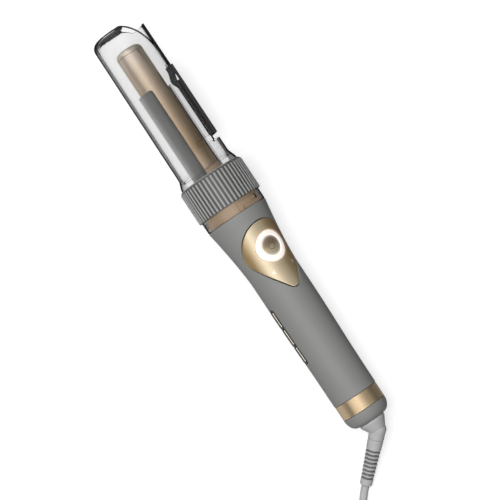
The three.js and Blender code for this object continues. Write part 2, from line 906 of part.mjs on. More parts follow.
// Clear chamber: skirt, flare, tube and dome, cut by the mouth and the J-shaped hair slot

const guideBase = ringTop + guideLow;
const guideTop = guideBase + guideLength;
const hookTop = guideTop + hookLength;
const footLow = ringTop + footSlotLow;
const footTop = footLow + footSlotHeight;
const tubeTop = crest - domeCorner - domeCrown;

function chamberRadius(height) {
  const share = (height - flareTop) / (tubeTop - flareTop);
  return chamberFootRadius + (chamberTipRadius - chamberFootRadius) * share;
}

function chamberBody() {
  const skirtTop = ringLow - seatGap;
  const skirtInner = neckRadius + runningGap;
  const footInner = chamberFootRadius - chamberWall;
  const ledgeLow = turntableTop + 1.8;
  const flare = Array.from({ length: 4 }, (_, i) => {
    const share = THREE.MathUtils.smoothstep(i, 0, 3);
    const radius = chamberSeatRadius + (chamberFootRadius - chamberSeatRadius) * share;
    return [radius, ringTop + seatGap + ((flareLength - seatGap) * i) / 3];
  });
  const innerTop = crest - chamberWall;
  const innerCorner = domeCorner - chamberWall;
  const tipInner = chamberTipRadius - chamberWall;
  return revolve([
    [skirtInner, collarLow],
    [collarRadius, collarLow],
    [collarRadius, skirtTop],
    [chamberSeatRadius, skirtTop],
    ...flare,
    ...arc(chamberTipRadius - domeCorner, tubeTop, domeCorner, 0, 84, 4),
    [0, crest],
    [0, innerTop],
    ...arc(tipInner - innerCorner, innerTop - domeCrown - innerCorner, innerCorner, 84, 0, 3),
    [footInner, flareTop],
    [footInner, ledgeLow + ledgeLength],
    [ledgeRadius, ledgeLow + ledgeLength],
    [ledgeRadius, ledgeLow],
    [skirtInner, ledgeLow - 2],
    [skirtInner, collarLow],
  ]);
}

// Everything to the right of a quarter ellipse, in front, and the dome above the back wall's flat top
function mouthCutters() {
  const far = chamberFootRadius + 10;
  const low = crest - mouthLow;
  const outline = new THREE.Shape();
  outline.moveTo(mouthRight, low);
  outline.absellipse(mouthLeft, low, mouthRight - mouthLeft, mouthLow + 0.6, 0, Math.PI / 2);
  outline.lineTo(mouthLeft, crest + 10);
  outline.lineTo(far, crest + 10);
  outline.lineTo(far, low);
  outline.closePath();
  const backEdge = chamberTipRadius * Math.cos(degrees(slotBack));
  const frontPart = slab(outline, backEdge, far, 12);
  const above = block([-far, far], [crest - backWallDrop, crest + 20], [-far, far]);
  return [frontPart, common(slab(outline, -far, far, 12), above)];
}

function slotCutters() {
  const reach = chamberFootRadius + 8;
  const upper = sector(slotFront, slotBack, reach, hookTop + seatGap - 1, crest - mouthLow + 6);
  const lower = sector(lowSlotFront, guideBack + 0.8, reach, footTop - 1, hookTop + seatGap);
  const foot = sector(footSlotFront, guideBack + 0.8, reach, footLow, footTop);
  return [upper, lower, foot];
}

// A groove inside the skirt for each stud, with an entry from below where the chamber is unlocked
function bayonetGrooves() {
  const depth = collarRadius - 0.7;
  const wide = studRadius + 0.5;
  const angleRoom = THREE.MathUtils.radToDeg(wide / depth);
  return studAngles.flatMap((angle) => {
    const ring = tube(depth, neckRadius - 1, studHeight - wide, studHeight + wide);
    const entry = tube(depth, neckRadius - 1, collarLow - 1, studHeight);
    const from = angle - unlockTurn - angleRoom;
    return [
      common(ring, sector(from, angle + angleRoom, beyond, studHeight - 8, studHeight + 8)),
      common(entry, sector(from, from + 2 * angleRoom, beyond, collarLow - 2, studHeight + 1)),
    ];
  });
}

// Dark guide that lines the slot's back edge, with a hook at its top that leads the hair inwards
function hairGuide() {
  const outer = chamberFootRadius + guideProud;
  const inner = outer - guideThickness;
  const low = guideBase;
  const strip = common(
    tube(outer, inner, low, hookTop),
    sector(slotBack + 0.4, guideBack, beyond, low, hookTop),
  );
  const right = outer - hookInset;
  const tipLow = guideTop + hookInset;
  const nose = new THREE.Shape();
  nose.moveTo(hookReach, tipLow);
  nose.lineTo(right, guideTop);
  nose.lineTo(right, hookTop - hookBevel);
  nose.lineTo(right - hookWall, hookTop);
  nose.lineTo(right - hookWall - hookCrown, hookTop);
  nose.lineTo(hookReach, tipLow + hookTip);
  nose.closePath();
  const eyeLow = guideTop + hookWall;
  const eye = new THREE.Path();
  eye.moveTo(right - hookWall - eyeWidth, eyeLow);
  eye.lineTo(right - hookWall, eyeLow);
  eye.lineTo(right - hookWall, eyeLow + eyeHeight);
  eye.closePath();
  nose.holes.push(eye);
  const backEdge = (outer - guideThickness / 2) * Math.cos(degrees(slotBack));
  const wedge = new THREE.Shape();
  wedge.moveTo(hookReach, tipLow + hookInset);
  wedge.lineTo(hookReach + rampWidth, guideTop - rampDrop);
  wedge.lineTo(inner + hookInset, guideTop - rampDrop);
  wedge.lineTo(inner + hookInset, tipLow + hookInset);
  wedge.closePath();
  const hook = slab(nose, backEdge - hookDepth, backEdge - 0.2);
  const ramp = slab(wedge, backEdge - hookDepth, backEdge - hookDepth / 2);
  return join(strip, common(join(hook, ramp), disc(outer, low, hookTop)));
}

piece(
  iron,
  'chamber',
  cut(chamberBody(), ...mouthCutters(), ...slotCutters(), ...bayonetGrooves()),
  'clear',
);
piece(iron, 'hair_guide', hairGuide(), 'black');

// Ribbed locking ring

// Rows of corners round the axis, each row joined to the next and the last to the first
function ribbedRing() {
  const bore = chamberSeatRadius + seatGap;
  const shoulder = collarRadius + seatGap;
  const root = ringRadius - ribDepth;
  const rows = [
    [shoulder, ringLow, 0],
    [shoulder + ringShoulder, ringLow, 0],
    [ringRadius, ringLow + ringLowBevel, 1],
    [ringRadius, ringTop - ringTopBevel, 1],
    [bore + 0.5, ringTop, 0],
    [bore, ringTop, 0],
  ];
  const pitch = 360 / ribCount;
  const offsets = [-ribShare / 2, ribShare / 2, 0.5].map((share) => share * pitch);
  const columns = 3 * ribCount;
  const positions = rows.flatMap(([radius, height, ribbed]) =>
    Array.from({ length: columns }, (_, k) => {
      const angle = degrees(180 + Math.floor(k / 3) * pitch + offsets[k % 3]);
      const reach = ribbed && k % 3 === 2 ? root : radius;
      return [reach * Math.sin(angle), height, reach * Math.cos(angle)];
    }).flat(),
  );
  const index = [];
  rows.forEach((_, row) => {
    for (let k = 0; k < columns; k += 1) {
      const next = (k + 1) % columns;
      const a = row * columns;
      const b = ((row + 1) % rows.length) * columns;
      index.push(a + k, a + next, b + next, a + k, b + next, b + k);
    }
  });
  const geometry = new THREE.BufferGeometry();
  geometry.setAttribute('position', new THREE.Float32BufferAttribute(positions, 3));
  geometry.setIndex(index);
  return geometry;
}

piece(iron, 'ribbed_ring', ribbedRing(), 'ribGrey');

// Direction plate: it rocks on two pins, and carries the light ring and the power button

const lightInner = buttonRadius + slideGap;
const lightOuter = lightInner + lightWidth;
const seatInner = lightOuter + seatGap;
const lightBoardLevel = buttonFloor - 3.7;
const lightBoardTop = lightBoardLevel + 1;
const postHeight = buttonHeight - switchDrop;
const directionSwitchTop = boardTop + seatGap + switchLift;

function rockerPlate() {
  const skin = wrappedPlate(0, 0, plateThickness);
  const collar = post(seatInner + seatWall, 0, buttonHeight, lightBoardLevel - seatGap, beyond, 32);
  const lugs = [
    [pinLowSpan[1] - lugThickness, pinLowSpan[1]],
    [pinHighSpan[0], pinHighSpan[0] + lugThickness],
  ].map(([low, high]) => {
    const top = handleRadius((low + high) / 2) - plateThickness / 2;
    return block([-lugWidth, lugWidth], [low, high], [pivotReach - lugDepth, top]);
  });
  const pads = [-switchReach, switchReach].map((x) => {
    const inner = handleRadius(postHeight) - plateThickness / 2;
    const top = Math.sqrt(inner ** 2 - switchReach ** 2);
    return post(padRadius, x, postHeight, directionSwitchTop + padGap, top, 12);
  });
  const inside = handleEnvelope(plateLow - 5, plateHigh + 5, -plateThickness / 2);
  const body = join(skin, common(join(collar, ...lugs), inside), ...pads);
  const bore = disc(pivotRadius + seatGap, plateLow - 20, plateHigh + 20, 16).translate(0, 0, pivotReach);
  return cut(body, post(seatInner, 0, buttonHeight, 0, beyond, 32), bore);
}

function lightRing() {
  const ring = tube(lightOuter, lightInner, lightBoardTop + seatGap, beyond, 32).rotateX(Math.PI / 2);
  const envelope = handleEnvelope(plateLow, plateHigh, 0.1);
  return common(ring.translate(0, buttonHeight, 0), envelope);
}

function powerButton() {
  const stem = post(buttonRadius, 0, buttonHeight, buttonFloor, beyond, 32);
  return common(stem, handleEnvelope(plateLow, plateHigh, 0));
}

piece(front, 'rocker_plate', rockerPlate(), 'gold');
piece(front, 'light_ring', lightRing(), 'light');
piece(front, 'power_button', powerButton(), 'gold');
piece(
  front,
  'light_board',
  post(seatInner - seatGap, 0, buttonHeight, lightBoardLevel, lightBoardTop, 20),
  'board',
);
piece(
  front,
  'power_switch',
  block(
    [-3, 3],
    [buttonHeight - 3, buttonHeight + 3],
    [lightBoardTop + seatGap, buttonFloor - buttonTravel - pressRoom],
  ),
  'black',
);

[pinLowSpan, pinHighSpan].forEach(([low, high], i) => {
  const pin = disc(pivotRadius, low + 0.3, high - 0.3, 12).translate(0, 0, pivotReach);
  piece(front, ['pivot_pin_lower', 'pivot_pin_upper'][i], pin, 'steel');
});

[-switchReach, switchReach].forEach((x, i) => {
  const body = block(
    [x - switchHalf, x + switchHalf],
    [postHeight - switchHalf, postHeight + switchHalf],
    [boardTop + seatGap, directionSwitchTop],
  );
  piece(front, ['direction_switch_left', 'direction_switch_right'][i], body, 'black');
});

// Side keys in their black inlay

const keyHeights = Array.from(
  { length: keyCount },
  (_, i) => keyCentre + (i - (keyCount - 1) / 2) * keyPitch,
);
const keySwitchTop = keyFloor - keyTravel - pressRoom;
const keySwitchLow = keySwitchTop - keySwitchLift;
const keyBoardTop = keySwitchLow - seatGap;
const keyBoardLow = keyBoardTop - keyBoardThickness;

function keyPrism(halfWidth, halfLength, corner, low, high, height) {
  return slab(roundedOutline(halfWidth, halfLength, corner), low, high, 3).translate(0, height, 0);
}

function keyInlay() {
  const reach = inlayLength / 2 + cutPast;
  const body = common(keyWindow(0), handleEnvelope(keyCentre - reach, keyCentre + reach, -inlaySunk, 20));
  const wide = keyWidth / 2 + slideGap;
  const long = keyLength / 2 + slideGap;
  const holes = keyHeights.map((y) => keyPrism(wide, long, 1.6, 0, beyond, y));
  const legs = [-1, 1].map((hand) => {
    const end = keyCentre + (hand * inlayLength) / 2;
    const span = [end, end - hand * inlayLeg].sort((a, b) => a - b);
    return block([-2.2, 2.2], span, [keyBoardTop + seatGap, inlayFloor + 0.5]);
  });
  return join(cut(body, ...holes), ...legs);
}

function sideKey(height) {
  const stem = keyPrism(keyWidth / 2, keyLength / 2, 1.4, keyFloor, beyond, height);
  const flange = keyPrism(
    keyWidth / 2 + keyFlange,
    keyLength / 2 + 0.2,
    1.4,
    keyFloor,
    inlayFloor - seatGap,
    height,
  );
  const reach = inlayLength / 2 + cutPast;
  const envelope = handleEnvelope(keyCentre - reach, keyCentre + reach, keyProud, 30);
  return join(common(stem, envelope), flange);
}

piece(side, 'key_inlay', keyInlay(), 'black');
keyHeights.forEach((height, i) => piece(side, `side_key_${i + 1}`, sideKey(height), 'black'));
keyHeights.forEach((height, i) => {
  const x = [-keySwitchHalf, keySwitchHalf];
  const y = [height - keySwitchHalf, height + keySwitchHalf];
  const body = block(x, y, [keySwitchLow, keySwitchTop]);
  piece(side, `key_switch_${i + 1}`, body, 'black');
});
piece(
  side,
  'key_board',
  block(
    [-keyBoardHalfWidth, keyBoardHalfWidth],
    [keyCentre - inlayLength / 2, keyCentre + inlayLength / 2],
    [keyBoardLow, keyBoardTop],
  ),
  'board',
);

// Swivel stub with its elbow, and the ribbed strain relief

const elbowHeight = -stubLength - 0.8;
const bootStart = elbowRadius + 1.4;
const bootAxis = new THREE.Vector3(0, 1, 0);
const bootDirection = new THREE.Vector3(
  -Math.sin(degrees(bootTurn)) * Math.cos(degrees(bootDrop)),
  -Math.cos(degrees(bootTurn)) * Math.cos(degrees(bootDrop)),
  -Math.sin(degrees(bootDrop)),
);

// Turns a body of revolution so that its axis leaves the elbow along the strain relief
function alongBoot(geometry) {
  geometry.applyQuaternion(new THREE.Quaternion().setFromUnitVectors(bootAxis, bootDirection));
  return geometry.translate(0, elbowHeight, 0);
}

function swivelStub() {
  const flange = disc(swivelFlangeRadius, flangeLow, flangeTop, 20);
  const neck = disc(swivelNeckRadius, -seatGap - 0.5, flangeLow + 0.5, 20);
  const cone = revolve([
    [0, -stubLength],
    [elbowRadius + 0.6, -stubLength],
    [stubRadius, -seatGap - 1.6],
    [stubRadius, -seatGap],
    [0, -seatGap],
  ], 16);
  const ball = new THREE.SphereGeometry(elbowRadius, 12, 8).translate(0, elbowHeight, 0);
  const arm = alongBoot(disc(elbowRadius - 0.3, 0, bootStart - seatGap, 16));
  return join(flange, neck, cone, ball, arm);
}

function strainRelief() {
  const groovePitch = (bootLength - 9) / bootGrooves;
  const radiusAt = (distance) => bootRadius + ((bootTipRadius - bootRadius) * distance) / bootLength;
  const profile = [[0, bootStart], [bootRadius, bootStart]];
  for (let groove = 0; groove < bootGrooves; groove += 1) {
    const start = 5 + groove * groovePitch;
    profile.push([radiusAt(start), bootStart + start]);
    profile.push([radiusAt(start) - bootGrooveDepth, bootStart + start + bootGrooveWidth / 2]);
    profile.push([radiusAt(start), bootStart + start + bootGrooveWidth]);
  }
  profile.push([bootTipRadius, bootStart + bootLength - 0.8]);
  profile.push([bootTipRadius - 0.8, bootStart + bootLength]);
  profile.push([0, bootStart + bootLength]);
  return alongBoot(revolve(profile, 12));
}

piece(iron, 'swivel_stub', swivelStub(), 'cordGrey');
piece(iron, 'strain_relief', strainRelief(), 'cordGrey');

// Rest the iron on its ribbed ring and on the end of its cap, over the middle of its own outline

const ringContact = new THREE.Vector2(ringLow + ringLowBevel, ringRadius);
const capContact = new THREE.Vector2(capLength, bandRadius);
const tilt = Math.atan2(ringContact.y - capContact.y, ringContact.x - capContact.x);
iron.rotation.x = tilt;
assembly.updateMatrixWorld(true);

const leadNames = ['swivel_stub', 'strain_relief'];
const outline = new THREE.Box3();
iron.traverse((object) => {
  if (object.isMesh && !leadNames.includes(object.name)) outline.expandByObject(object, true);
});
const middle = outline.getCenter(new THREE.Vector3());
iron.position.set(-middle.x, -middle.y, -outline.min.z);
assembly.updateMatrixWorld(true);

// Mains lead: out of the strain relief, down to the surface, into a tied coil, and on to its plug

const bootTip = bootDirection.clone().multiplyScalar(bootStart + bootLength);
bootTip.y += elbowHeight;
const leadStart = iron.localToWorld(bootTip.clone());
const leadDirection = bootDirection.clone().transformDirection(iron.matrixWorld);

const coilOuter = coilInner + (coilPitch * coilTurns) / 2;
const coilEndAngle = Math.PI + 2 * Math.PI * coilTurns;
const tailDirection = new THREE.Vector3(-Math.sin(coilEndAngle), Math.cos(coilEndAngle), 0);

// Spirals in on the surface, climbs a layer in the half turn where it reverses, and spirals out
function coilPoints() {
  const points = [];
  const half = coilTurns / 2;
  const steps = Math.round(coilTurns * loopSteps);
  for (let i = 0; i <= steps; i += 1) {
    const turn = i / loopSteps;
    const away = Math.abs(turn - half);
    const eased = away < 0.25 ? 0.125 + 2 * away ** 2 : away;
    const radius = coilInner + coilPitch * eased;
    const angle = Math.PI + 2 * Math.PI * turn;
    const climb = THREE.MathUtils.smoothstep(turn, half - 0.25, half + 0.25);
    points.push(
      new THREE.Vector3(
        coilCentre.x + radius * Math.cos(angle),
        coilCentre.y + radius * Math.sin(angle),
        cordRadius + coilRise + coilLayer * climb,
      ),
    );
  }
  const straight = 2 * cordRadius;
  const first = points[0].clone();
  first.y += straight;
  const last = points[points.length - 1].clone().addScaledVector(tailDirection, straight);
  return [first, ...points, last];
}

function leastGap(points) {
  let least = Infinity;
  for (let i = 0; i < points.length; i += 1) {
    for (let k = i + loopSteps / 2; k < points.length; k += 1) {
      least = Math.min(least, points[i].distanceTo(points[k]));
    }
  }
  return least - 2 * cordRadius;
}

function pathLength(points) {
  return points.slice(1).reduce((sum, point, i) => sum + point.distanceTo(points[i]), 0);
}

function cordTube(curve, steps) {
  const section = new THREE.Shape();
  section.absarc(0, 0, cordRadius, 0, 2 * Math.PI);
  return new THREE.ExtrudeGeometry(section, { steps, curveSegments: 5, extrudePath: curve });
}

const coil = coilPoints();
const coilStart = coil[0];
const coilEnd = coil[coil.length - 1];

const leadPoints = [
  leadStart.clone().addScaledVector(leadDirection, seatGap),
  leadStart.clone().addScaledVector(leadDirection, 6),
  new THREE.Vector3(-42.5, -226.5, 3.4),
  new THREE.Vector3(-51, -236, 3.1),
  new THREE.Vector3(-58, -247.5, 3.1),
  new THREE.Vector3(-63.2, -259, 3.2),
  new THREE.Vector3(-66.7, -270.5, 3.5),
  new THREE.Vector3(coilStart.x, coilStart.y + 12, coilStart.z),
  new THREE.Vector3(coilStart.x, coilStart.y + seatGap, coilStart.z),
];
const plugBack = new THREE.Vector3(
  coilCentre.x - coilOuter - cordRadius + plugHalfWidth,
  coilEnd.y - tailReach,
  plugHalfHeight,
);
const tailPoints = [
  coilEnd.clone().addScaledVector(tailDirection, seatGap),
  coilEnd.clone().addScaledVector(tailDirection, 2.5),
  new THREE.Vector3(plugBack.x - 1.8, plugBack.y + 11.3, 9.1),
  new THREE.Vector3(plugBack.x - 0.5, plugBack.y + 6.2, 7.5),
  new THREE.Vector3(plugBack.x, plugBack.y + 2.5, 6.9),
  new THREE.Vector3(plugBack.x, plugBack.y + seatGap, plugBack.z),
];
const leadCurve = new THREE.CatmullRomCurve3(leadPoints, false, 'centripetal');
const tailCurve = new THREE.CatmullRomCurve3(tailPoints, false, 'centripetal');

piece(assembly, 'cord_lead', cordTube(leadCurve, 12), 'cordGrey');
piece(assembly, 'cord_coil', sweep(coil, () => cordRadius, 6), 'cordGrey');
piece(assembly, 'cord_tail', cordTube(tailCurve, 6), 'cordGrey');

// A strap round the coil's bundle, on the side away from the iron
function cordTie() {
  const strap = tieThickness;
  const inner = Math.sqrt((coilInner - cordRadius) ** 2 - tieHalfWidth ** 2) - seatGap;
  const outer = coilOuter + cordRadius + seatGap;
  const top = coilRise + 2 * cordRadius + coilLayer + seatGap;
  const low = coilRise - seatGap;
  const shape = new THREE.Shape();
  shape.moveTo(inner - strap, low - strap);
  shape.lineTo(outer + strap, low - strap);
  shape.lineTo(outer + strap, top - 3);
  shape.lineTo(outer - 2, top + strap);
  shape.lineTo(inner + 1, top + strap);
  shape.lineTo(inner - strap, top - 1.5);
  shape.closePath();
  const hole = new THREE.Path();
  hole.moveTo(inner, low);
  hole.lineTo(inner, top - 1.8);
  hole.lineTo(inner + 1.2, top);
  hole.lineTo(outer - 2.3, top);
  hole.lineTo(outer, top - 3.3);
  hole.lineTo(outer, low);
  hole.closePath();
  shape.holes.push(hole);
  const loop = slab(shape, -tieHalfWidth, tieHalfWidth).rotateX(Math.PI / 2).rotateZ(-Math.PI / 2);
  return loop.translate(coilCentre.x, coilCentre.y, 0);
}

piece(assembly, 'cord_tie', cordTie(), 'black');

// Two-pin plug, lying flat beyond the coil

function plugBody() {
  const neck = cordRadius + 2;
  const chamfer = 1.5;
  const shape = new THREE.Shape();
  shape.moveTo(-neck, 0);
  shape.lineTo(neck, 0);
  shape.bezierCurveTo(neck + 1, -6, plugHalfWidth - 1, -plugShoulder + 7, plugHalfWidth, -plugShoulder);
  shape.lineTo(plugHalfWidth, -plugLength + chamfer);
  shape.lineTo(plugHalfWidth - chamfer, -plugLength);
  shape.lineTo(-plugHalfWidth + chamfer, -plugLength);
  shape.lineTo(-plugHalfWidth, -plugLength + chamfer);
  shape.lineTo(-plugHalfWidth, -plugShoulder);
  shape.bezierCurveTo(-plugHalfWidth + 1, -plugShoulder + 7, -neck - 1, -6, -neck, 0);
  const options = {
    depth: 2 * (plugHalfHeight - chamfer),
    bevelThickness: chamfer,
    bevelSize: chamfer,
    bevelOffset: -chamfer,
    bevelSegments: 2,
    curveSegments: 5,
  };
  const body = new THREE.ExtrudeGeometry(shape, options).translate(0, 0, chamfer - plugHalfHeight);
  return body.translate(plugBack.x, plugBack.y, plugBack.z);
}

piece(assembly, 'plug_body', plugBody(), 'cordGrey');
[-1, 1].forEach((hand, i) => {
  const low = plugBack.y - plugLength - seatGap - pinLength;
  const pin = revolve([
    [0, low],
    [pinRadius - 0.8, low],
    [pinRadius, low + 0.8],
    [pinRadius, low + pinLength],
    [0, low + pinLength],
  ], 12);
  const x = plugBack.x + (hand * pinSpacing) / 2;
  piece(assembly, `plug_pin_${i + 1}`, pin.translate(x, 0, plugBack.z), 'brass');
});

const leadLength = leadCurve.getLength();
const tailLength = tailCurve.getLength();
console.log(`least gap between the coil's turns: ${leastGap(coil).toFixed(2)} mm`);
console.log(`cord: ${(leadLength + pathLength(coil) + tailLength).toFixed(0)} mm in all`);

export default assembly;
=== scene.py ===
"""Dresses the automatic curling iron: its visible pieces, their finishes, the lights and the camera."""

import json
import math

import bmesh
import bpy
from bpy.props import (
    FloatProperty,
    FloatVectorProperty,
    IntProperty,
    PointerProperty,
)
from mathutils import Matrix, Vector


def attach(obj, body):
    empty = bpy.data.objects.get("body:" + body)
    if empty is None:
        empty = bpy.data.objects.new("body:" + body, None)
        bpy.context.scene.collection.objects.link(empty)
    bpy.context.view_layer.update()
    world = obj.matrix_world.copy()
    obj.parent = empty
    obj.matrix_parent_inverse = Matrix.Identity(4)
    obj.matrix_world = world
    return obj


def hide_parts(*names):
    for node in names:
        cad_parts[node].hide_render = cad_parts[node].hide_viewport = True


bl_info = {
    "name": "Automatic curling iron",
    "version": (1, 0, 0),
    "blender": (4, 5, 0),
    "location": "View3D > Sidebar > Curling iron",
    "description": "Builds the visible pieces, the finishes and the stage of an automatic curling iron",
    "category": "Object",
}

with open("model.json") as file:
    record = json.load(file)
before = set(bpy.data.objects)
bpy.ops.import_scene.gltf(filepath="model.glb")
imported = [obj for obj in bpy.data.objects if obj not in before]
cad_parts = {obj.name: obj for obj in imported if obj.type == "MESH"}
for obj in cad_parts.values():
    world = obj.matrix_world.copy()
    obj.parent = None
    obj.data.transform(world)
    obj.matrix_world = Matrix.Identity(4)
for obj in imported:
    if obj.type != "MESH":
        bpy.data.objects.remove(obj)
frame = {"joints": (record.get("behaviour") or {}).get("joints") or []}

# Sizes in millimetres. Heights count from the end of the handle, along the iron's axis.
# Angles round the axis are in degrees, 0 at the top, growing towards +X.

SEAT_GAP = 0.3
CAP_LENGTH = 10
CAP_MOUTH = 11.2
CAP_HOLE = 9.3
CAP_BORE = 12
CAP_FLOOR = 3.5
CAP_SPIGOT = 14.2
CAP_SPIGOT_TOP = 18
BAND_TOP = 22.1
BAND_RADIUS = 18
BAND_WALL = 1.1
GRIP_RADIUS = 18.2
PALM_RADIUS = 19.3
HEAD_RADIUS = 25.2
PALM_START = 34.1
PALM_HEIGHT = 110
HEAD_START = 130
HEAD_POWER = 1.5
HANDLE_TOP = 182.4
SHELL_WALL = 2.2
SHELL_FOOT = 16.6
SHELL_FOOT_WALL = 2.1
PARTING_LEFT = -98
PARTING_RIGHT = 108
SCREW_SHARES = (0.143, 0.424, 0.735)
SCREW_LEVEL = -13.6
SCREW_BOSS = 3.9
SCREW_WELL = 3

NECK_INNER = 20.4
NECK_RADIUS = 22.9
NECK_TOP = 213.5
STUD_HEIGHT = 187.6
STUD_RADIUS = 1.6
STUD_ANGLES = (-70, 50, 170)
UNLOCK_TURN = 35
COLLAR_LOW = 182.7
COLLAR_RADIUS = 25.1
COLLAR_TOP = 191.3

RING_LOW = 191.6
RING_TOP = 219.6
RING_RADIUS = 27
RING_TOP_BEVEL = 2.2
RING_LOW_BEVEL = 0.8

FLARE_TOP = 228.9
CREST = 349.6
SEAT_RADIUS = 24.5
FOOT_RADIUS = 22.1
TIP_RADIUS = 21.5
CHAMBER_WALL = 1.5
DOME_CORNER = 6.5
DOME_CROWN = 0.4
LEDGE_RADIUS = 18.9
LEDGE_LOW = 219.7
LEDGE_TOP = 222.7
MOUTH_LOW = 318.1
MOUTH_LEFT = -4
MOUTH_RIGHT = 19.3
MOUTH_SLOPE = 0.75
BACK_WALL_TOP = 342.6
SLOT_FRONT = 65
SLOT_BACK = 92
LOW_SLOT_FRONT = 57
FOOT_SLOT_FRONT = 12
FOOT_SLOT_LOW = 239.4
FOOT_SLOT_TOP = 243.6

GUIDE_LOW = 243.9
GUIDE_TOP = 290.9
HOOK_TOP = 305.5
GUIDE_OUTER = 23
GUIDE_THICKNESS = 3
GUIDE_BACK = 123
HOOK_NEAR = -0.95
HOOK_FAR = -3.45

GEAR_LOW = 190.8
TURNTABLE_LOW = 213.9
TURNTABLE_TOP = 217.9
TURNTABLE_RADIUS = 18.4
BASE_COLLAR_RADIUS = 11.4
BASE_COLLAR_TOP = 222.9
BARREL_LOW = 223.2
BARREL_TOP = 327.7
BARREL_RADIUS = 10.9
BARREL_WALL = 1
BAR_INNER = 11.8
BAR_OUTER = 13.1
BAR_CORNER = 2.5

PLATE_ANGLE = 28
PLATE_LOW = 114.5
PLATE_HIGH = 170.5
PLATE_ARC = 26.2
PLATE_FLANK = 0.74
PLATE_NOSE = 5
PLATE_BLEND = 3
PLATE_THICKNESS = 2
GROOVE_GAP = 0.7
BUTTON_HEIGHT = 149.7
BUTTON_RADIUS = 8.2
BUTTON_FLOOR = 16.6
LIGHT_INNER = 8.55
LIGHT_OUTER = 11.85
LIGHT_FLOOR = 14.2
SEAT_INNER = 12.15
SEAT_FLOOR = 12.6
PIVOT_REACH = 14
ARROW_HEIGHT = 131.6
ARROW_START = 8.2
ARROW_LENGTH = 2.9
ARROW_SLOPE = 1.3
SYMBOL_RADIUS = 2.7

KEY_ANGLE = -75
KEY_CENTRE = 85.2
KEY_PITCH = 15.6
KEY_LENGTH = 13.5
KEY_WIDTH = 6.4
KEY_PROUD = 0.25
KEY_GAP = 0.35
TRIM_HALF_WIDTH = 0.42
KEY_FLOOR = 14.3
INLAY_LENGTH = 47.8
INLAY_WIDTH = 9.6
INLAY_CORNER = 2.4
INLAY_SUNK = 0.35
INLAY_FLOOR = 15.9

STUB_RADIUS = 10.4
STUB_LENGTH = 8
SHAFT_RADIUS = 8.9
FLANGE_RADIUS = 11.6
FLANGE_LOW = 3.9
FLANGE_TOP = 6.2
ARM_RADIUS = 6.1
ELBOW_RADIUS = 6.4
ELBOW_HEIGHT = -8.8
BOOT_START = 7.8
BOOT_LENGTH = 37
BOOT_RADIUS = 6
BOOT_TIP_RADIUS = 4.6
BOOT_TURN = 45
BOOT_DROP = 15
GROOVE_START = 8
GROOVE_WIDTH = 1.7
BOOT_CUFFS = 12

CORD_RADIUS = 3
COIL_TURNS = 7 + 1 / 12
COIL_INNER = 24.2
COIL_PITCH = 6.65
COIL_LAYER = 6.6
COIL_RISE = 0.9
COIL_CENTRE = (-20.4, -299.5)
COIL_STEPS = 24
TIE_THICKNESS = 0.6
TIE_HALF_WIDTH = 4
TAIL_REACH = 17.5
FLOOR_REACH = 6000
PLUG_LENGTH = 30
PLUG_HALF_WIDTH = 17.65
PLUG_HALF_HEIGHT = 6.85
PLUG_SHOULDER = 17
PIN_RADIUS = 2
PIN_LENGTH = 19
PIN_SPACING = 18.6
SLEEVE_LENGTH = 9.5

# The iron's frame: its axis and its foot come from the joint that the mains lead swivels on

SWIVEL = next(joint for joint in frame["joints"] if joint["name"] == "cord_swivel")
AXIS = Vector(SWIVEL["axis"]).normalized()
RIGHT = Vector((1, 0, 0))
UP = RIGHT.cross(AXIS)
FOOT = Vector(SWIVEL["pos_m"]) - AXIS * 0.005
TILT = math.asin(AXIS.z)


def iron_point(x, y, z):
    """A point of the iron's frame, in millimetres, as a place in the scene"""
    return FOOT + (RIGHT * x + AXIS * y + UP * z) * 0.001


def floor_point(x, y, z):
    """A point of the frame that the lead lies in, in millimetres, as a place in the scene"""
    return Vector((x, y, z)) * 0.001


def sin_cos(degrees):
    return math.sin(math.radians(degrees)), math.cos(math.radians(degrees))


def arc(steps, span=90):
    """The sine and cosine of the steps of an arc that starts at 0 degrees"""
    return [sin_cos(span * k / steps) for k in range(steps + 1)]


def circle(sides):
    """The sine and cosine of equal steps round a circle"""
    return arc(sides, 360)[:-1]


def turned(angle):
    """A place maker for a piece drawn at the top of the iron and turned round the axis"""
    sine, cosine = sin_cos(angle)
    return lambda x, y, z: iron_point(x * cosine + z * sine, y, z * cosine - x * sine)


def from_foot(place):
    """A place maker for the source of row_on_points, whose points carry it to its place"""
    return lambda x, y, z: place(x, y, z) - FOOT


def untilted(place):
    """A place maker for the source of row_round_axis, whose tree tilts it back"""
    tilt = Matrix.Rotation(-TILT, 3, "X")
    return lambda x, y, z: tilt @ (place(x, y, z) - FOOT)


def smoothstep(value, low, high):
    share = min(max((value - low) / (high - low), 0), 1)
    return share * share * (3 - 2 * share)


def stations(low, high, step):
    """Heights from low to high, evenly spaced at about the step"""
    count = max(math.ceil((high - low) / step), 1)
    return [low + (high - low) * k / count for k in range(count + 1)]


def handle_radius(height):
    palm = smoothstep(height, PALM_START, PALM_HEIGHT)
    head = min(max((height - HEAD_START) / (HANDLE_TOP - HEAD_START), 0), 1)
    return GRIP_RADIUS + (PALM_RADIUS - GRIP_RADIUS) * palm + (HEAD_RADIUS - PALM_RADIUS) * head**HEAD_POWER


# Shapes


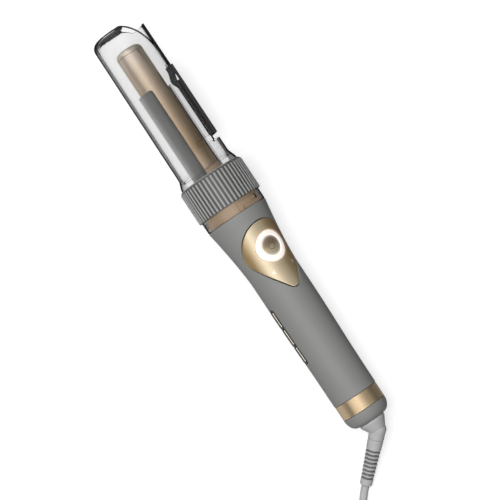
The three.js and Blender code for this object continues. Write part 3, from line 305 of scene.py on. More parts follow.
class Form:
    """Corners, in millimetres, and faces, gathered before they become a mesh"""

    def __init__(self):
        self.corners = []
        self.faces = []

    def corner(self, x, y, z):
        self.corners.append((x, y, z))
        return len(self.corners) - 1

    def strip(self, first, second, closed=True):
        """Faces between two rows of corners"""
        count = len(first) if closed else len(first) - 1
        for k in range(count):
            after = (k + 1) % len(first)
            ring = []
            for corner in (first[k], first[after], second[after], second[k]):
                if corner not in ring:
                    ring.append(corner)
            if len(ring) > 2:
                self.faces.append(ring)

    def skin(self, rows, ring=False, capped=False):
        """Faces between each row of corners and the next, back to the first in a ring, or with two ends"""
        for first, second in zip(rows, rows[1:] + (rows[:1] if ring else [])):
            self.strip(first, second)
        if capped:
            self.faces += [rows[0], rows[-1]]
        return self

    def add(self, other):
        start = len(self.corners)
        self.corners += other.corners
        self.faces += [[corner + start for corner in face] for face in other.faces]
        return self


def soften(points, radii, closed=True, steps=4):
    """Rounds the corners of a flat outline, each by its own radius"""
    if not hasattr(radii, "__len__"):
        radii = [radii] * len(points)
    result = []
    for k, (point, radius) in enumerate(zip(points, radii)):
        at_end = not closed and k in (0, len(points) - 1)
        if not radius or at_end:
            result.append(tuple(point))
            continue
        here = Vector(point)
        back = Vector(points[k - 1]) - here
        ahead = Vector(points[(k + 1) % len(points)]) - here
        opening = back.angle(ahead)
        reach = min(radius / math.tan(opening / 2), back.length * 0.49, ahead.length * 0.49)
        start = here + back.normalized() * reach
        end = here + ahead.normalized() * reach
        for step in range(steps + 1):
            share = step / steps
            spot = start.lerp(here, share).lerp(here.lerp(end, share), share)
            result.append((spot.x, spot.y))
    return result


def lathe(profile, sides=96, closed=False):
    """A body turned round the y axis, from (radius, height) pairs"""
    form = Form()
    turns = circle(sides)
    rows = []
    for radius, height in profile:
        if radius < 1e-6:
            rows.append([form.corner(0, height, 0)] * sides)
        else:
            rows.append([form.corner(radius * sine, height, radius * cosine) for sine, cosine in turns])
    return form.skin(rows, ring=closed)


def upright(form, height=0):
    """Stands a body of revolution on the iron's axis, at a height"""
    form.corners = [(x, height + z, y) for x, y, z in form.corners]
    return form


def loft(loops):
    """A closed body through loops of corners, each with as many corners"""
    form = Form()
    return form.skin([[form.corner(*point) for point in loop] for loop in loops], capped=True)


def sector_block(inner, outer, start, end, low, high, step=3.0):
    """A bent block between two radii, two angles and two heights"""
    section = [(inner, low), (outer, low), (outer, high), (inner, high)]
    turns = [sin_cos(angle) for angle in stations(start, end, step)]
    return loft([[(r * sine, y, r * cosine) for r, y in section] for sine, cosine in turns])


def prism(outline, low, high):
    """A flat (x, y) outline carried from one z to another"""
    return loft([[(x, y, z) for x, y in outline] for z in (low, high)])


def rectangle(half_width, low, high):
    return [(-half_width, low), (half_width, low), (half_width, high), (-half_width, high)]


def wrapped(rows, layers, radius, columns=12):
    """A slab bent round the axis: rows(inset) gives its outline, and each layer an inset and a depth"""
    form = Form()
    loops = []
    for number, (inset, depth) in enumerate(layers):
        grid = []
        for height, left, right in rows(inset):
            surface = radius(height)
            line = []
            for k in range(columns + 1):
                angle = (left + (right - left) * k / columns) / surface
                reach = surface - depth
                line.append(form.corner(reach * math.sin(angle), height, reach * math.cos(angle)))
            grid.append(line)
        if number in (0, len(layers) - 1):
            for first, second in zip(grid, grid[1:]):
                form.strip(first, second, closed=False)
        rising = [line[-1] for line in grid[1:-1]]
        falling = [line[0] for line in reversed(grid[1:-1])]
        loops.append(grid[0] + rising + list(reversed(grid[-1])) + falling)
    return form.skin(loops)


def rounded_rows(half_width, low, high, corner, low_corner=None, step=4):
    """Rows of a rectangle with rounded corners, for wrapped()"""
    low_corner = corner if low_corner is None else low_corner

    def rows(inset):
        half = half_width - inset
        ends = []
        for end, radius, hand in ((low + inset, low_corner, 1), (high - inset, corner, -1)):
            radius = max(radius - inset, 0.05)
            part = []
            for sine, cosine in arc(6):
                across = half - radius + radius * sine
                part.append((end + hand * (radius - radius * cosine), -across, across))
            ends.append(part)
        heights = stations(ends[0][-1][0], ends[1][-1][0], step)[1:-1]
        return ends[0] + [(height, -half, half) for height in heights] + ends[1][::-1]

    return rows


def edge_layers(rounding, thickness):
    """Layers for wrapped() with a rounded upper edge and a plain lower one"""
    return [(rounding * (1 - sine), rounding * (1 - cosine)) for sine, cosine in arc(4)] + [(0, thickness)]


def surface_rings(rings, floor):
    """Rings round the button's centre, laid on the handle's surface: (radius, drop) pairs from inside out.
    The last ring goes straight down to the floor, and so does the first one unless it starts at 0."""
    form = Form()
    turns = circle(96)
    rows = []
    for radius, drop in rings:
        row = []
        for sine, cosine in turns:
            x, y = radius * sine, BUTTON_HEIGHT + radius * cosine
            row.append(form.corner(x, y, math.sqrt(handle_radius(y) ** 2 - x * x) - drop))
        rows.append(row)
    for radius in (rings[-1][0], rings[0][0]):
        rows.append([form.corner(radius * sine, BUTTON_HEIGHT + radius * cosine, floor) for sine, cosine in turns])
    return form.skin(rows, ring=True)


def along(direction, start):
    """A turn and shift that lays a body of revolution along a direction"""
    matrix = Vector((0, 1, 0)).rotation_difference(Vector(direction)).to_matrix()
    shift = Vector(start)

    def carry(form):
        form.corners = [tuple(matrix @ Vector(corner) + shift) for corner in form.corners]
        return form

    return carry


# Meshes


def add_object(name, mesh):
    piece = bpy.data.objects.new(name, mesh)
    bpy.context.scene.collection.objects.link(piece)
    return piece


def shade(mesh, sharp):
    """Shades a mesh smooth, apart from its edges over the sharp angle"""
    if not mesh.polygons:
        raise RuntimeError(f"{mesh.name} came out empty")
    mesh.shade_smooth()
    mesh.set_sharp_from_angle(angle=math.radians(sharp))


def mesh_object(name, form, place=iron_point, sharp=35):
    """Makes an object of a form, welded, with its faces turned outwards"""
    mesh = bpy.data.meshes.new(name)
    mesh.from_pydata([place(*corner) for corner in form.corners], [], form.faces)
    work = bmesh.new()
    work.from_mesh(mesh)
    bmesh.ops.remove_doubles(work, verts=work.verts, dist=1e-6)
    bmesh.ops.dissolve_degenerate(work, edges=work.edges, dist=1e-7)
    loose = [corner for corner in work.verts if not corner.link_faces]
    bmesh.ops.delete(work, geom=loose, context="VERTS")
    bmesh.ops.recalc_face_normals(work, faces=work.faces)
    work.to_mesh(mesh)
    work.free()
    shade(mesh, sharp)
    return add_object(name, mesh)


def take_result(piece):
    """Puts the result of an object's modifiers into its mesh and removes them"""
    bpy.context.view_layer.update()
    graph = bpy.context.evaluated_depsgraph_get()
    result = bpy.data.meshes.new_from_object(piece.evaluated_get(graph))
    old = piece.data
    piece.modifiers.clear()
    piece.data = result
    result.name = piece.name
    bpy.data.meshes.remove(old)
    return piece


def combine(piece, tools, operation, sharp=35):
    """Cuts tools out of a piece or joins them to it, and removes the tools"""
    for tool in tools:
        step = piece.modifiers.new("shape", "BOOLEAN")
        step.operation = operation
        step.solver = "EXACT"
        step.material_mode = "TRANSFER"
        step.object = tool
    take_result(piece)
    for tool in tools:
        bpy.data.meshes.remove(tool.data)
    shade(piece.data, sharp)
    return piece


def mark_cut_faces(piece, marker):
    """Writes 1 in 'cut_edge' for the faces that a tool with the marker's material has left"""
    mesh = piece.data
    places = [k for k, look in enumerate(mesh.materials) if look == marker]
    cut = [1.0 if face.material_index in places else 0.0 for face in mesh.polygons]
    mesh.attributes.new("cut_edge", "FLOAT", "FACE").data.foreach_set("value", cut)
    mesh.polygons.foreach_set("material_index", [0] * len(mesh.polygons))
    return piece


def bevelled(piece, width, segments=2, angle=40):
    """Rounds a piece's sharp edges"""
    step = piece.modifiers.new("edges", "BEVEL")
    step.width = width * 0.001
    step.segments = segments
    step.limit_method = "ANGLE"
    step.angle_limit = math.radians(angle)
    step.harden_normals = False
    shade(take_result(piece).data, 50)
    return piece


def settle(piece, body, look, slot, *nodes):
    """Gives a finished piece its material and its body, and hides the CAD nodes that it stands for"""
    if look:
        piece.data.materials.clear()
        piece.data.materials.append(finish(look))
    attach(piece, body)
    if nodes:
        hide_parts(*nodes)
    return piece


# Node trees


def feed(tree, node, values):
    """Fills a node's sockets, by name or number, with constants or with other nodes' outputs"""
    for label, value in values.items():
        if isinstance(value, bpy.types.NodeSocket):
            tree.links.new(value, node.inputs[label])
        else:
            node.inputs[label].default_value = value
    return node


def put(tree, kind, values=None, **settings):
    """Adds a node, with its settings and what goes into its sockets"""
    node = tree.nodes.new(kind)
    for label, value in settings.items():
        setattr(node, label, value)
    return feed(tree, node, values or {})


def calc(tree, operation, first, second=0.0, third=0.0):
    """The output of one Math node"""
    return put(tree, "ShaderNodeMath", {0: first, 1: second, 2: third}, operation=operation).outputs[0]


def node_group(name, family, outputs, inputs):
    """A new node group and the sockets that its inputs come out of. Every output has a label and a kind,
    every input a label, a kind and, if it needs one, a value."""
    tree = bpy.data.node_groups.new(name, f"{family}NodeTree")
    for way, sockets in (("OUTPUT", outputs), ("INPUT", inputs)):
        for label, kind, *value in sockets:
            socket = tree.interface.new_socket(name=label, in_out=way, socket_type=f"NodeSocket{kind}")
            if value:
                socket.default_value = value[0]
    return tree, tree.nodes.new("NodeGroupInput").outputs


def made_once(build):
    """Turns a builder into a function that gives its node group and builds it only the first time"""

    def group():
        return bpy.data.node_groups.get(build.__name__) or build(build.__name__)

    return group


# Geometry Nodes: a piece repeated round the axis, or on given points


def row_tree(name, inputs):
    geometry = ("Geometry", "Geometry")
    inputs = [geometry, ("Piece", "Object"), *inputs, ("Finish", "Material")]
    return node_group(name, "Geometry", [geometry], inputs)


def finish_tree(tree, given, instances):
    """Ends a tree: real geometry, one material"""
    real = put(tree, "GeometryNodeRealizeInstances", {0: instances})
    dress = put(tree, "GeometryNodeSetMaterial", {"Geometry": real.outputs[0], "Material": given["Finish"]})
    put(tree, "NodeGroupOutput", {0: dress.outputs[0]})
    return tree


@made_once
def row_round_axis(name):
    """A tree that repeats a piece at equal angles round the iron's axis"""
    tree, given = row_tree(name, [("Count", "Int"), ("Foot", "Vector"), ("Tilt", "Float")])
    source = put(tree, "GeometryNodeObjectInfo", {"Object": given["Piece"]}).outputs["Geometry"]
    points = put(tree, "GeometryNodePoints", {"Count": given["Count"]}).outputs[0]
    share = calc(tree, "DIVIDE", put(tree, "GeometryNodeInputIndex").outputs[0], given["Count"])
    turn = put(tree, "ShaderNodeCombineXYZ", {"Y": calc(tree, "MULTIPLY", share, 2 * math.pi)}).outputs[0]
    values = {"Points": points, "Instance": source, "Rotation": turn}
    spread = put(tree, "GeometryNodeInstanceOnPoints", values).outputs[0]
    lean = put(tree, "ShaderNodeCombineXYZ", {"X": given["Tilt"]}).outputs[0]
    values = {"Geometry": spread, "Translation": given["Foot"], "Rotation": lean}
    return finish_tree(tree, given, put(tree, "GeometryNodeTransform", values).outputs[0])


@made_once
def row_on_points(name):
    """A tree that puts a piece on every corner of the object's own mesh"""
    tree, given = row_tree(name, [])
    source = put(tree, "GeometryNodeObjectInfo", {"Object": given["Piece"]}).outputs["Geometry"]
    values = {"Points": given["Geometry"], "Instance": source}
    return finish_tree(tree, given, put(tree, "GeometryNodeInstanceOnPoints", values).outputs[0])


def repeated(host, tree, source, look, values, sharp=35):
    """Runs a tree on one source piece and leaves its result in the host, as a plain mesh"""
    step = host.modifiers.new("row", "NODES")
    step.node_group = tree
    values = {"Piece": source, "Finish": finish(look), **values}
    for item in tree.interface.items_tree:
        if item.in_out == "INPUT" and item.name in values:
            step[item.identifier] = values[item.name]
    take_result(host)
    bpy.data.meshes.remove(source.data)
    shade(host.data, sharp)
    return host


def repeat_round(name, source, count, look, sharp=35):
    host = add_object(name, bpy.data.meshes.new(name))
    return repeated(host, row_round_axis(), source, look, {"Count": count, "Foot": FOOT, "Tilt": TILT}, sharp)


def repeat_on(name, source, points, look):
    host = add_object(name, bpy.data.meshes.new(name))
    host.data.from_pydata(points, [], [])
    return repeated(host, row_on_points(), source, look, {})


# Finishes: what the materials share


def linear(code):
    """A colour from its six digits, as the shader reads it"""
    channels = []
    for k in (0, 2, 4):
        share = int(code[k : k + 2], 16) / 255
        channels.append(share / 12.92 if share <= 0.04045 else ((share + 0.055) / 1.055) ** 2.4)
    return (*channels, 1.0)


def tint(value):
    """A shader colour from a setting's name, a six-digit code or a shade; anything else stays as it is"""
    if isinstance(value, float):
        return (value, value, value, 1.0)
    if isinstance(value, str):
        setting = getattr(bpy.context.scene.curler_colours, value, None)
        return linear(value) if setting is None else (*setting, 1.0)
    return value


def ramp(tree, source, stops):
    """A colour ramp with the given stops, each a place and what tint() takes"""
    node = put(tree, "ShaderNodeValToRGB", {0: source})
    marks = node.color_ramp.elements
    while len(marks) < len(stops):
        marks.new(0.5)
    for mark, (place, colour) in zip(marks, stops):
        mark.position = place
        mark.color = tint(colour)
    return node.outputs["Color"]


def blend(tree, share, first, second, mode="MIX"):
    """The mix of two colours"""
    values = {"Factor": share, "A": tint(first), "B": tint(second)}
    return put(tree, "ShaderNodeMix", values, data_type="RGBA", blend_type=mode).outputs["Result"]


def distance(tree, first, second):
    """The length of the diagonal over two values"""
    squares = calc(tree, "MULTIPLY_ADD", second, second, calc(tree, "MULTIPLY", first, first))
    return calc(tree, "SQRT", squares)


def span(tree, value, low, high, most=1.0):
    """0 where a value is low, growing to the most where it is high"""
    values = {"Value": value, "From Min": low, "From Max": high, "To Max": most}
    return put(tree, "ShaderNodeMapRange", values).outputs[0]


def within(tree, value, middle, reach):
    """1 where a value is nearer to the middle than the reach, else 0"""
    return calc(tree, "LESS_THAN", calc(tree, "ABSOLUTE", calc(tree, "SUBTRACT", value, middle)), reach)


def spot(tree):
    """Where a point lies in the scene at rest, in metres"""
    return put(tree, "ShaderNodeTexCoord").outputs["Object"]


def noise(tree, scale, detail, distortion=0.0):
    values = {"Vector": spot(tree), "Scale": scale, "Detail": detail, "Distortion": distortion}
    return put(tree, "ShaderNodeTexNoise", values).outputs[0]


@made_once
def tone_drift(name):
    """Soft patches a little lighter and darker than the colour"""
    inputs = [("Colour", "Color", (0.5, 0.5, 0.5, 1)), ("Amount", "Float", 0.05), ("Scale", "Float", 60.0)]
    tree, given = node_group(name, "Shader", [("Colour", "Color")], inputs)
    swing = calc(tree, "SUBTRACT", noise(tree, given["Scale"], 3.0), 0.5)
    level = calc(tree, "MULTIPLY_ADD", swing, given["Amount"], 1.0)
    scaled = put(tree, "ShaderNodeVectorMath", {0: given["Colour"], "Scale": level}, operation="SCALE")
    put(tree, "NodeGroupOutput", {"Colour": scaled.outputs[0]})
    return tree


@made_once
def moulded_grain(name):
    """Fine grain of moulded plastic: a height for the bump, and a roughness that drifts"""
    inputs = [("Scale", "Float", 2500.0), ("Roughness", "Float", 0.5), ("Spread", "Float", 0.08)]
    tree, given = node_group(name, "Shader", [("Height", "Float"), ("Roughness", "Float")], inputs)
    smudge = calc(tree, "SUBTRACT", noise(tree, 35.0, 2.0), 0.5)
    rough = calc(tree, "MULTIPLY_ADD", smudge, given["Spread"], given["Roughness"])
    put(tree, "NodeGroupOutput", {"Height": noise(tree, given["Scale"], 4.0), "Roughness": rough})
    return tree


@made_once
def iron_place(name):
    """Where a point lies on the iron, in millimetres: along it, across it, up from it, and round it"""
    outputs = [("Along", "Float"), ("Across", "Float"), ("Up", "Float"), ("Round", "Float"), ("Place", "Vector")]
    tree, given = node_group(name, "Shader", outputs, [("Turn", "Float", 0.0)])
    values = {"Vector": spot(tree), "Location": FOOT, "Rotation": (TILT, 0, 0), "Scale": (0.001, 0.001, 0.001)}
    lying = put(tree, "ShaderNodeMapping", values, vector_type="TEXTURE").outputs[0]
    turn = put(tree, "ShaderNodeCombineXYZ", {"Y": given["Turn"]}).outputs[0]
    facing = put(tree, "ShaderNodeMapping", {"Vector": lying, "Rotation": turn}, vector_type="TEXTURE").outputs[0]
    parts = put(tree, "ShaderNodeSeparateXYZ", {0: facing}).outputs
    values = {"Along": parts["Y"], "Across": parts["X"], "Up": parts["Z"], "Place": facing}
    put(tree, "NodeGroupOutput", {**values, "Round": calc(tree, "ARCTAN2", parts["X"], parts["Z"])})
    return tree


def on_iron(tree, turn=0.0):
    """The outputs of iron_place, for a piece at an angle round the axis"""
    return put(tree, "ShaderNodeGroup", {"Turn": math.radians(turn)}, node_tree=iron_place()).outputs


def tones(tree, label, low, high, stops, turn=0.0):
    """Colours that follow each other between two values of one of iron_place's outputs"""
    return ramp(tree, span(tree, on_iron(tree, turn)[label], low, high), stops)


def drifting(tree, colour, amount):
    return put(tree, "ShaderNodeGroup", {"Colour": colour, "Amount": amount}, node_tree=tone_drift()).outputs[0]


def start_material(name):
    look = bpy.data.materials.new(f"{name}_finish")
    look.use_nodes = True
    return look, look.node_tree, look.node_tree.nodes["Principled BSDF"]


def surface(name, colour, roughness, metallic, grain, depth, drift=0.06):
    """A solid finish: a drifting colour, moulded grain of a scale and a depth, and a roughness that varies"""
    look, tree, shader = start_material(name)
    own = tones(tree, *colour) if isinstance(colour, tuple) else tint(colour)
    values = {"Scale": grain, "Roughness": roughness}
    texture = put(tree, "ShaderNodeGroup", values, node_tree=moulded_grain()).outputs
    bump = put(tree, "ShaderNodeBump", {"Height": texture["Height"], "Strength": depth, "Distance": 0.0002})
    values = {"Base Color": drifting(tree, own, drift), "Roughness": texture["Roughness"]}
    feed(tree, shader, {**values, "Metallic": metallic, "Normal": bump.outputs[0]})
    return look, tree, shader


def lay_over(tree, shader, share, colour, mode="MIX"):
    """Mixes another colour into a finish's own, as far as the share says"""
    own = shader.inputs["Base Color"].links[0].from_socket
    feed(tree, shader, {"Base Color": blend(tree, share, own, colour, mode)})


def light_up(tree, shader, colour, strength):
    feed(tree, shader, {"Emission Color": colour, "Emission Strength": strength})


def rays(tree):
    """Masks: rays whose end is seen, straight, mirrored or through plastic; mirrored rays; diffuse rays"""
    paths = put(tree, "ShaderNodeLightPath").outputs
    seen = calc(tree, "MAXIMUM", paths["Is Camera Ray"], paths["Is Glossy Ray"])
    seen = calc(tree, "MAXIMUM", seen, paths["Is Transmission Ray"])
    return seen, calc(tree, "MINIMUM", paths["Glossy Depth"], 1.0), paths["Is Diffuse Ray"]


# Finishes: what single materials add


def glow_near_light(tree, place, dark, bright):
    """Light from the lit ring on its surroundings, from one distance round the button to another"""
    rise = calc(tree, "SUBTRACT", place["Along"], BUTTON_HEIGHT)
    share = span(tree, distance(tree, place["Across"], rise), dark, bright)
    stops = [(0.0, 0.0), (0.5, (0.1, 0.08, 0.08, 1)), (0.8, (0.32, 0.28, 0.29, 1)), (1.0, (0.6, 0.56, 0.57, 1))]
    return ramp(tree, share, stops)


def plate_marks(tree, shader):
    """Painted shade across the plate, slight at one edge and deep at the other, two small arrowheads that point
    away from its middle, and the ring's light
    """
    across = tones(tree, "Across", -TONE_REACH, TONE_REACH, PLATE_PAINTED_SHADE, PLATE_ANGLE)
    lay_over(tree, shader, 1.0, across, "MULTIPLY")
    place = on_iron(tree, PLATE_ANGLE)
    reach = calc(tree, "SUBTRACT", calc(tree, "ABSOLUTE", place["Across"]), ARROW_START)
    beside = calc(tree, "ABSOLUTE", calc(tree, "SUBTRACT", place["Along"], ARROW_HEIGHT))
    inside = calc(tree, "LESS_THAN", calc(tree, "MULTIPLY_ADD", beside, ARROW_SLOPE, reach), ARROW_LENGTH)
    arrows = calc(tree, "MULTIPLY", inside, calc(tree, "GREATER_THAN", reach, 0.0))
    lay_over(tree, shader, calc(tree, "MULTIPLY", arrows, 0.65), "fff6e6")
    light_up(tree, shader, glow_near_light(tree, place, LIGHT_OUTER + 3.4, LIGHT_OUTER - 1), 0.4)


def power_symbol(tree, shader):
    """A plain power symbol, an open ring with a bar in its gap, and the ring's light"""
    place = on_iron(tree, PLATE_ANGLE)
    across = place["Across"]
    rise = calc(tree, "SUBTRACT", place["Along"], BUTTON_HEIGHT)
    ring = within(tree, distance(tree, across, rise), SYMBOL_RADIUS, 0.32)
    beside_gap = calc(tree, "GREATER_THAN", calc(tree, "ABSOLUTE", across), 0.95)
    open_ring = calc(tree, "MULTIPLY", ring, calc(tree, "MAXIMUM", beside_gap, calc(tree, "LESS_THAN", rise, 0.0)))
    bar = calc(tree, "MULTIPLY", within(tree, across, 0.0, 0.3), within(tree, rise, 2.35, 1.35))
    lay_over(tree, shader, calc(tree, "MULTIPLY", calc(tree, "MAXIMUM", open_ring, bar), 0.55), "5d5040")
    light_up(tree, shader, glow_near_light(tree, place, BUTTON_RADIUS - 3, BUTTON_RADIUS - 0.4), 1.0)


def worn_ribs(tree, shader):
    """Painted highlight: paler along the ribs' backs and round the ring's upper edge"""
    place = on_iron(tree)
    back = span(tree, distance(tree, place["Across"], place["Up"]), RING_RADIUS - 0.7, RING_RADIUS - 0.1)
    rim = span(tree, place["Along"], RING_TOP - 0.8, RING_TOP - 0.2)
    lay_over(tree, shader, calc(tree, "MAXIMUM", back, rim), "b6b6b4")


def ring_glow(tree, shader):
    """The lit ring's own light, a little pink towards its left"""
    stops = [(0.0, "efe0e2"), (0.6, "fff4ec"), (1.0, "ffffff")]
    light_up(tree, shader, tones(tree, "Across", -TONE_REACH, TONE_REACH, stops, PLATE_ANGLE), 0.45)


def trim_glow(tree, shader):
    """Painted highlight: a faint glow on the pale line along a key"""
    light_up(tree, shader, linear("f2e8d6"), 0.35)


def dark_grooves(tree, shader):
    """Painted shade: dark in the grooves of the strain relief, by how far they lie under its cone"""
    values = {0: on_iron(tree)["Place"], 1: (0, ELBOW_HEIGHT, 0)}
    shift = put(tree, "ShaderNodeVectorMath", values, operation="SUBTRACT").outputs["Vector"]
    values = {0: shift, 1: tuple(boot_direction())}
    along_boot = put(tree, "ShaderNodeVectorMath", values, operation="DOT_PRODUCT").outputs["Value"]
    side = put(tree, "ShaderNodeVectorMath", values, operation="CROSS_PRODUCT").outputs["Vector"]
    reach = put(tree, "ShaderNodeVectorMath", {0: side}, operation="LENGTH").outputs["Value"]
    taper = (BOOT_TIP_RADIUS - BOOT_RADIUS) / BOOT_LENGTH
    outer = calc(tree, "MULTIPLY_ADD", along_boot, taper, BOOT_RADIUS - BOOT_START * taper)
    groove = span(tree, calc(tree, "SUBTRACT", outer, reach), 0.2, 1.0, 0.9)
    past_cuff = calc(tree, "GREATER_THAN", along_boot, BOOT_START + 4)
    lay_over(tree, shader, calc(tree, "MULTIPLY", groove, past_cuff), "6a6a6a")


def board_tracks(tree, shader):
    """Tracks on the boards, in place of one colour"""
    tracks = put(tree, "ShaderNodeTexBrick", {"Vector": spot(tree), "Scale": 260.0, "Mortar Size": 0.03})
    feed(tree, tracks, {"Color1": linear("2f6b45"), "Color2": linear("2a6240"), "Mortar": linear("6f9f5a")})
    feed(tree, shader.inputs["Base Color"].links[0].from_node, {"Colour": tracks.outputs["Color"]})


def pin_sleeve(tree, shader):
    """A dark sleeve on the half of a pin that is next to the plug"""
    level = put(tree, "ShaderNodeSeparateXYZ", {0: spot(tree)}).outputs["Y"]
    sleeve = calc(tree, "GREATER_THAN", level, (plug_back()[1] - PLUG_LENGTH - SLEEVE_LENGTH) * 0.001)
    lay_over(tree, shader, sleeve, "1d1d1e")
    feed(tree, shader, {"Metallic": calc(tree, "MULTIPLY_ADD", sleeve, -0.9, 0.9)})


def strap_weave(tree, shader):
    """The strap's weave as its bump, in place of moulded grain"""
    weave = put(tree, "ShaderNodeTexWave", {"Vector": spot(tree), "Scale": 420.0, "Distortion": 2.0})
    feed(tree, shader.inputs["Normal"].links[0].from_node, {"Height": weave.outputs["Fac"]})


def floor_light(tree, shader):
    """The floor looks white to the camera, and dimmer in what mirrors it, most of all towards the right"""
    seen, mirrored, diffuse = rays(tree)
    lay_over(tree, shader, calc(tree, "MAXIMUM", diffuse, mirrored), "7a7a7a")
    side = put(tree, "ShaderNodeSeparateXYZ", {0: spot(tree)}).outputs["X"]
    loss = calc(tree, "MULTIPLY_ADD", span(tree, side, -0.06, 0.06), -0.45, -0.2)
    share = calc(tree, "MULTIPLY_ADD", mirrored, loss, 0.7)
    light_up(tree, shader, tint(1.0), calc(tree, "MULTIPLY", seen, share))
    feed(tree, shader, {"Specular IOR Level": 0.0})


def clear_finish():
    """Clear plastic: a little grey, with painted shade along its edges, on its cut faces and in the dome, open to
    the lamps' light
    """
    look, tree, shader = start_material("clear_plastic")
    facing = put(tree, "ShaderNodeLayerWeight", {"Blend": 0.5}).outputs["Facing"]
    place = on_iron(tree)
    # Painted shade towards the dome's crown, broken up by noise
    dome = span(tree, place["Along"], CREST - 10, CREST - 3)
    swirl = calc(tree, "MULTIPLY_ADD", noise(tree, 110.0, 1.5, 2.0), 0.7, -0.22)
    slant = calc(tree, "MULTIPLY_ADD", dome, swirl, facing)
    tall = calc(tree, "GREATER_THAN", place["Along"], RING_TOP + 3)
    outer = calc(tree, "GREATER_THAN", distance(tree, place["Across"], place["Up"]), SEAT_RADIUS - 1.6)
    slant = calc(tree, "MULTIPLY", slant, calc(tree, "MAXIMUM", tall, outer))
    tone = drifting(tree, ramp(tree, slant, CLEAR_SHADES), 0.03)
    # Painted shade on the faces that the mouth and slot cutters left
    cut = put(tree, "ShaderNodeAttribute", attribute_name="cut_edge").outputs["Fac"]
    tinted = blend(tree, calc(tree, "MULTIPLY", cut, 0.9), tone, "1c1c1c")
    feed(tree, shader, {"Base Color": tinted, "Roughness": 0.0, "IOR": 1.3, "Transmission Weight": 1.0})
    # A near-black diffuse shader, mixed in along the edges as painted shade
    dark = put(tree, "ShaderNodeBsdfDiffuse", {"Color": linear("1d1d1d")})
    rim = ramp(tree, slant, [(0.0, 0.0), (0.6, 0.0), (0.72, 0.9), (1.0, 1.0)])
    edge = calc(tree, "MAXIMUM", rim, calc(tree, "MULTIPLY", cut, 0.65))
    walled = put(tree, "ShaderNodeMixShader", {0: edge, 1: shader.outputs[0], 2: dark.outputs[0]})
    through = put(tree, "ShaderNodeBsdfTransparent", {"Color": linear("f6f6f6")})
    shadow = put(tree, "ShaderNodeLightPath").outputs["Is Shadow Ray"]
    both = put(tree, "ShaderNodeMixShader", {0: shadow, 1: walled.outputs[0], 2: through.outputs[0]})
    feed(tree, tree.nodes["Material Output"], {"Surface": both.outputs[0]})
    return look


TONE_REACH = 50 / 3
# Painted shade across the direction plate, multiplied into its gold: slight at one edge, deep at the other
PLATE_PAINTED_SHADE = [(0.0, "d8c8ac"), (0.15, "ffffff"), (0.55, "fffaf2"), (0.75, "e6d4b4"), (1.0, "a08058")]
BUTTON_TONES = [(0.0, "eadfc4"), (0.42, "dccbaa"), (0.6, "b09c80"), (1.0, "94806c")]
BARREL_TONES = [(0.0, "c4ab97"), (0.07, "b29a7e"), (0.2, "a68c6c")]
BARREL_TONES += [(0.5, "bca58a"), (0.8, "d3c0aa"), (1.0, "e1d4c6")]
# Painted light and shade across each wrap bar, by its angle round the axis: pale on one side, dark on the other
BAR_PAINTED_SHADING = [(0.29, "cfd0cf"), (0.38, "8c8d8b"), (0.48, "333331")]
BAR_PAINTED_SHADING += [(0.79, "cfd0cf"), (0.88, "8c8d8b"), (0.98, "333331")]
# Grey of the clear plastic by how far it faces away, with painted shade towards its edges
CLEAR_SHADES = [(0.0, 0.94), (0.25, 0.92), (0.42, 0.86), (0.54, 0.76), (0.64, 0.5), (0.76, 0.08), (1.0, 0.03)]

# Colour, roughness, metallic share, the grain's scale and depth, and the colour's drift
SURFACES = {
    "soft_grey": ("grey", 0.5, 0.0, 2600.0, 0.12),
    "rib_grey": ("rib_grey", 0.36, 0.0, 2400.0, 0.1),
    "gold_plate": ("gold", 0.34, 0.75, 1800.0, 0.06, 0.05),
    "gold_button": (("Along", BUTTON_HEIGHT - 8, BUTTON_HEIGHT + 8, BUTTON_TONES), 0.3, 0.7, 1800.0, 0.05, 0.0),
    "gold_plastic": ("neck_gold", 0.4, 0.3, 1800.0, 0.05),
    "gold_metal": ("band_gold", 0.22, 0.9, 1500.0, 0.04),
    "key_trim": ("f6ecda", 0.35, 0.0, 1500.0, 0.03, 0.03),
    "boot_grey": ("cord_grey", 0.5, 0.0, 1800.0, 0.15),
    "barrel_coating": (("Along", BARREL_LOW, BARREL_TOP + 5, BARREL_TONES), 0.34, 0.85, 1500.0, 0.02, 0.05),
    # bar_grey: its colour is painted light and shade across each bar
    "bar_grey": (("Round", -math.pi, math.pi, BAR_PAINTED_SHADING), 0.4, 0.6, 2200.0, 0.03, 0.04),
    "black_plastic": ("black", 0.38, 0.0, 2200.0, 0.15, 0.2),
    "light_ring": ("fffaf2", 0.4, 0.0, 1200.0, 0.05, 0.02),
    "cord_grey": ("cord_grey", 0.5, 0.0, 1800.0, 0.15),
    "steel": ("b9bcc0", 0.3, 0.95, 1500.0, 0.05),
    "plug_brass": ("b9975a", 0.3, 0.9, 1500.0, 0.05),
    "circuit_board": ("2f6b45", 0.5, 0.0, 900.0, 0.1, 0.0),
    "nylon": ("e8e6de", 0.5, 0.0, 1800.0, 0.1),
    "ceramic": ("f1efe9", 0.65, 0.0, 1200.0, 0.15),
    "strap_weave": ("222224", 0.85, 0.0, 1500.0, 0.5),
    "pale_floor": ("floor", 0.9, 0.0, 300.0, 0.02, 0.01),
}
DETAILS = {
    "rib_grey": worn_ribs,
    "gold_plate": plate_marks,
    "gold_button": power_symbol,
    "key_trim": trim_glow,
    "boot_grey": dark_grooves,
    "light_ring": ring_glow,
    "plug_brass": pin_sleeve,
    "circuit_board": board_tracks,
    "strap_weave": strap_weave,
    "pale_floor": floor_light,
}


def finish(name):
    """The named material, made the first time that it is asked for"""
    made = bpy.data.materials.get(f"{name}_finish")
    if made:
        return made
    if name == "clear_plastic":
        return clear_finish()
    look, tree, shader = surface(name, *SURFACES[name])
    if name in DETAILS:
        DETAILS[name](tree, shader)
    return look


# The mains cord's route, repeated from the CAD source


def boot_direction():
    turn, drop = math.radians(BOOT_TURN), math.radians(BOOT_DROP)
    return Vector((-math.sin(turn) * math.cos(drop), -math.cos(turn) * math.cos(drop), -math.sin(drop)))


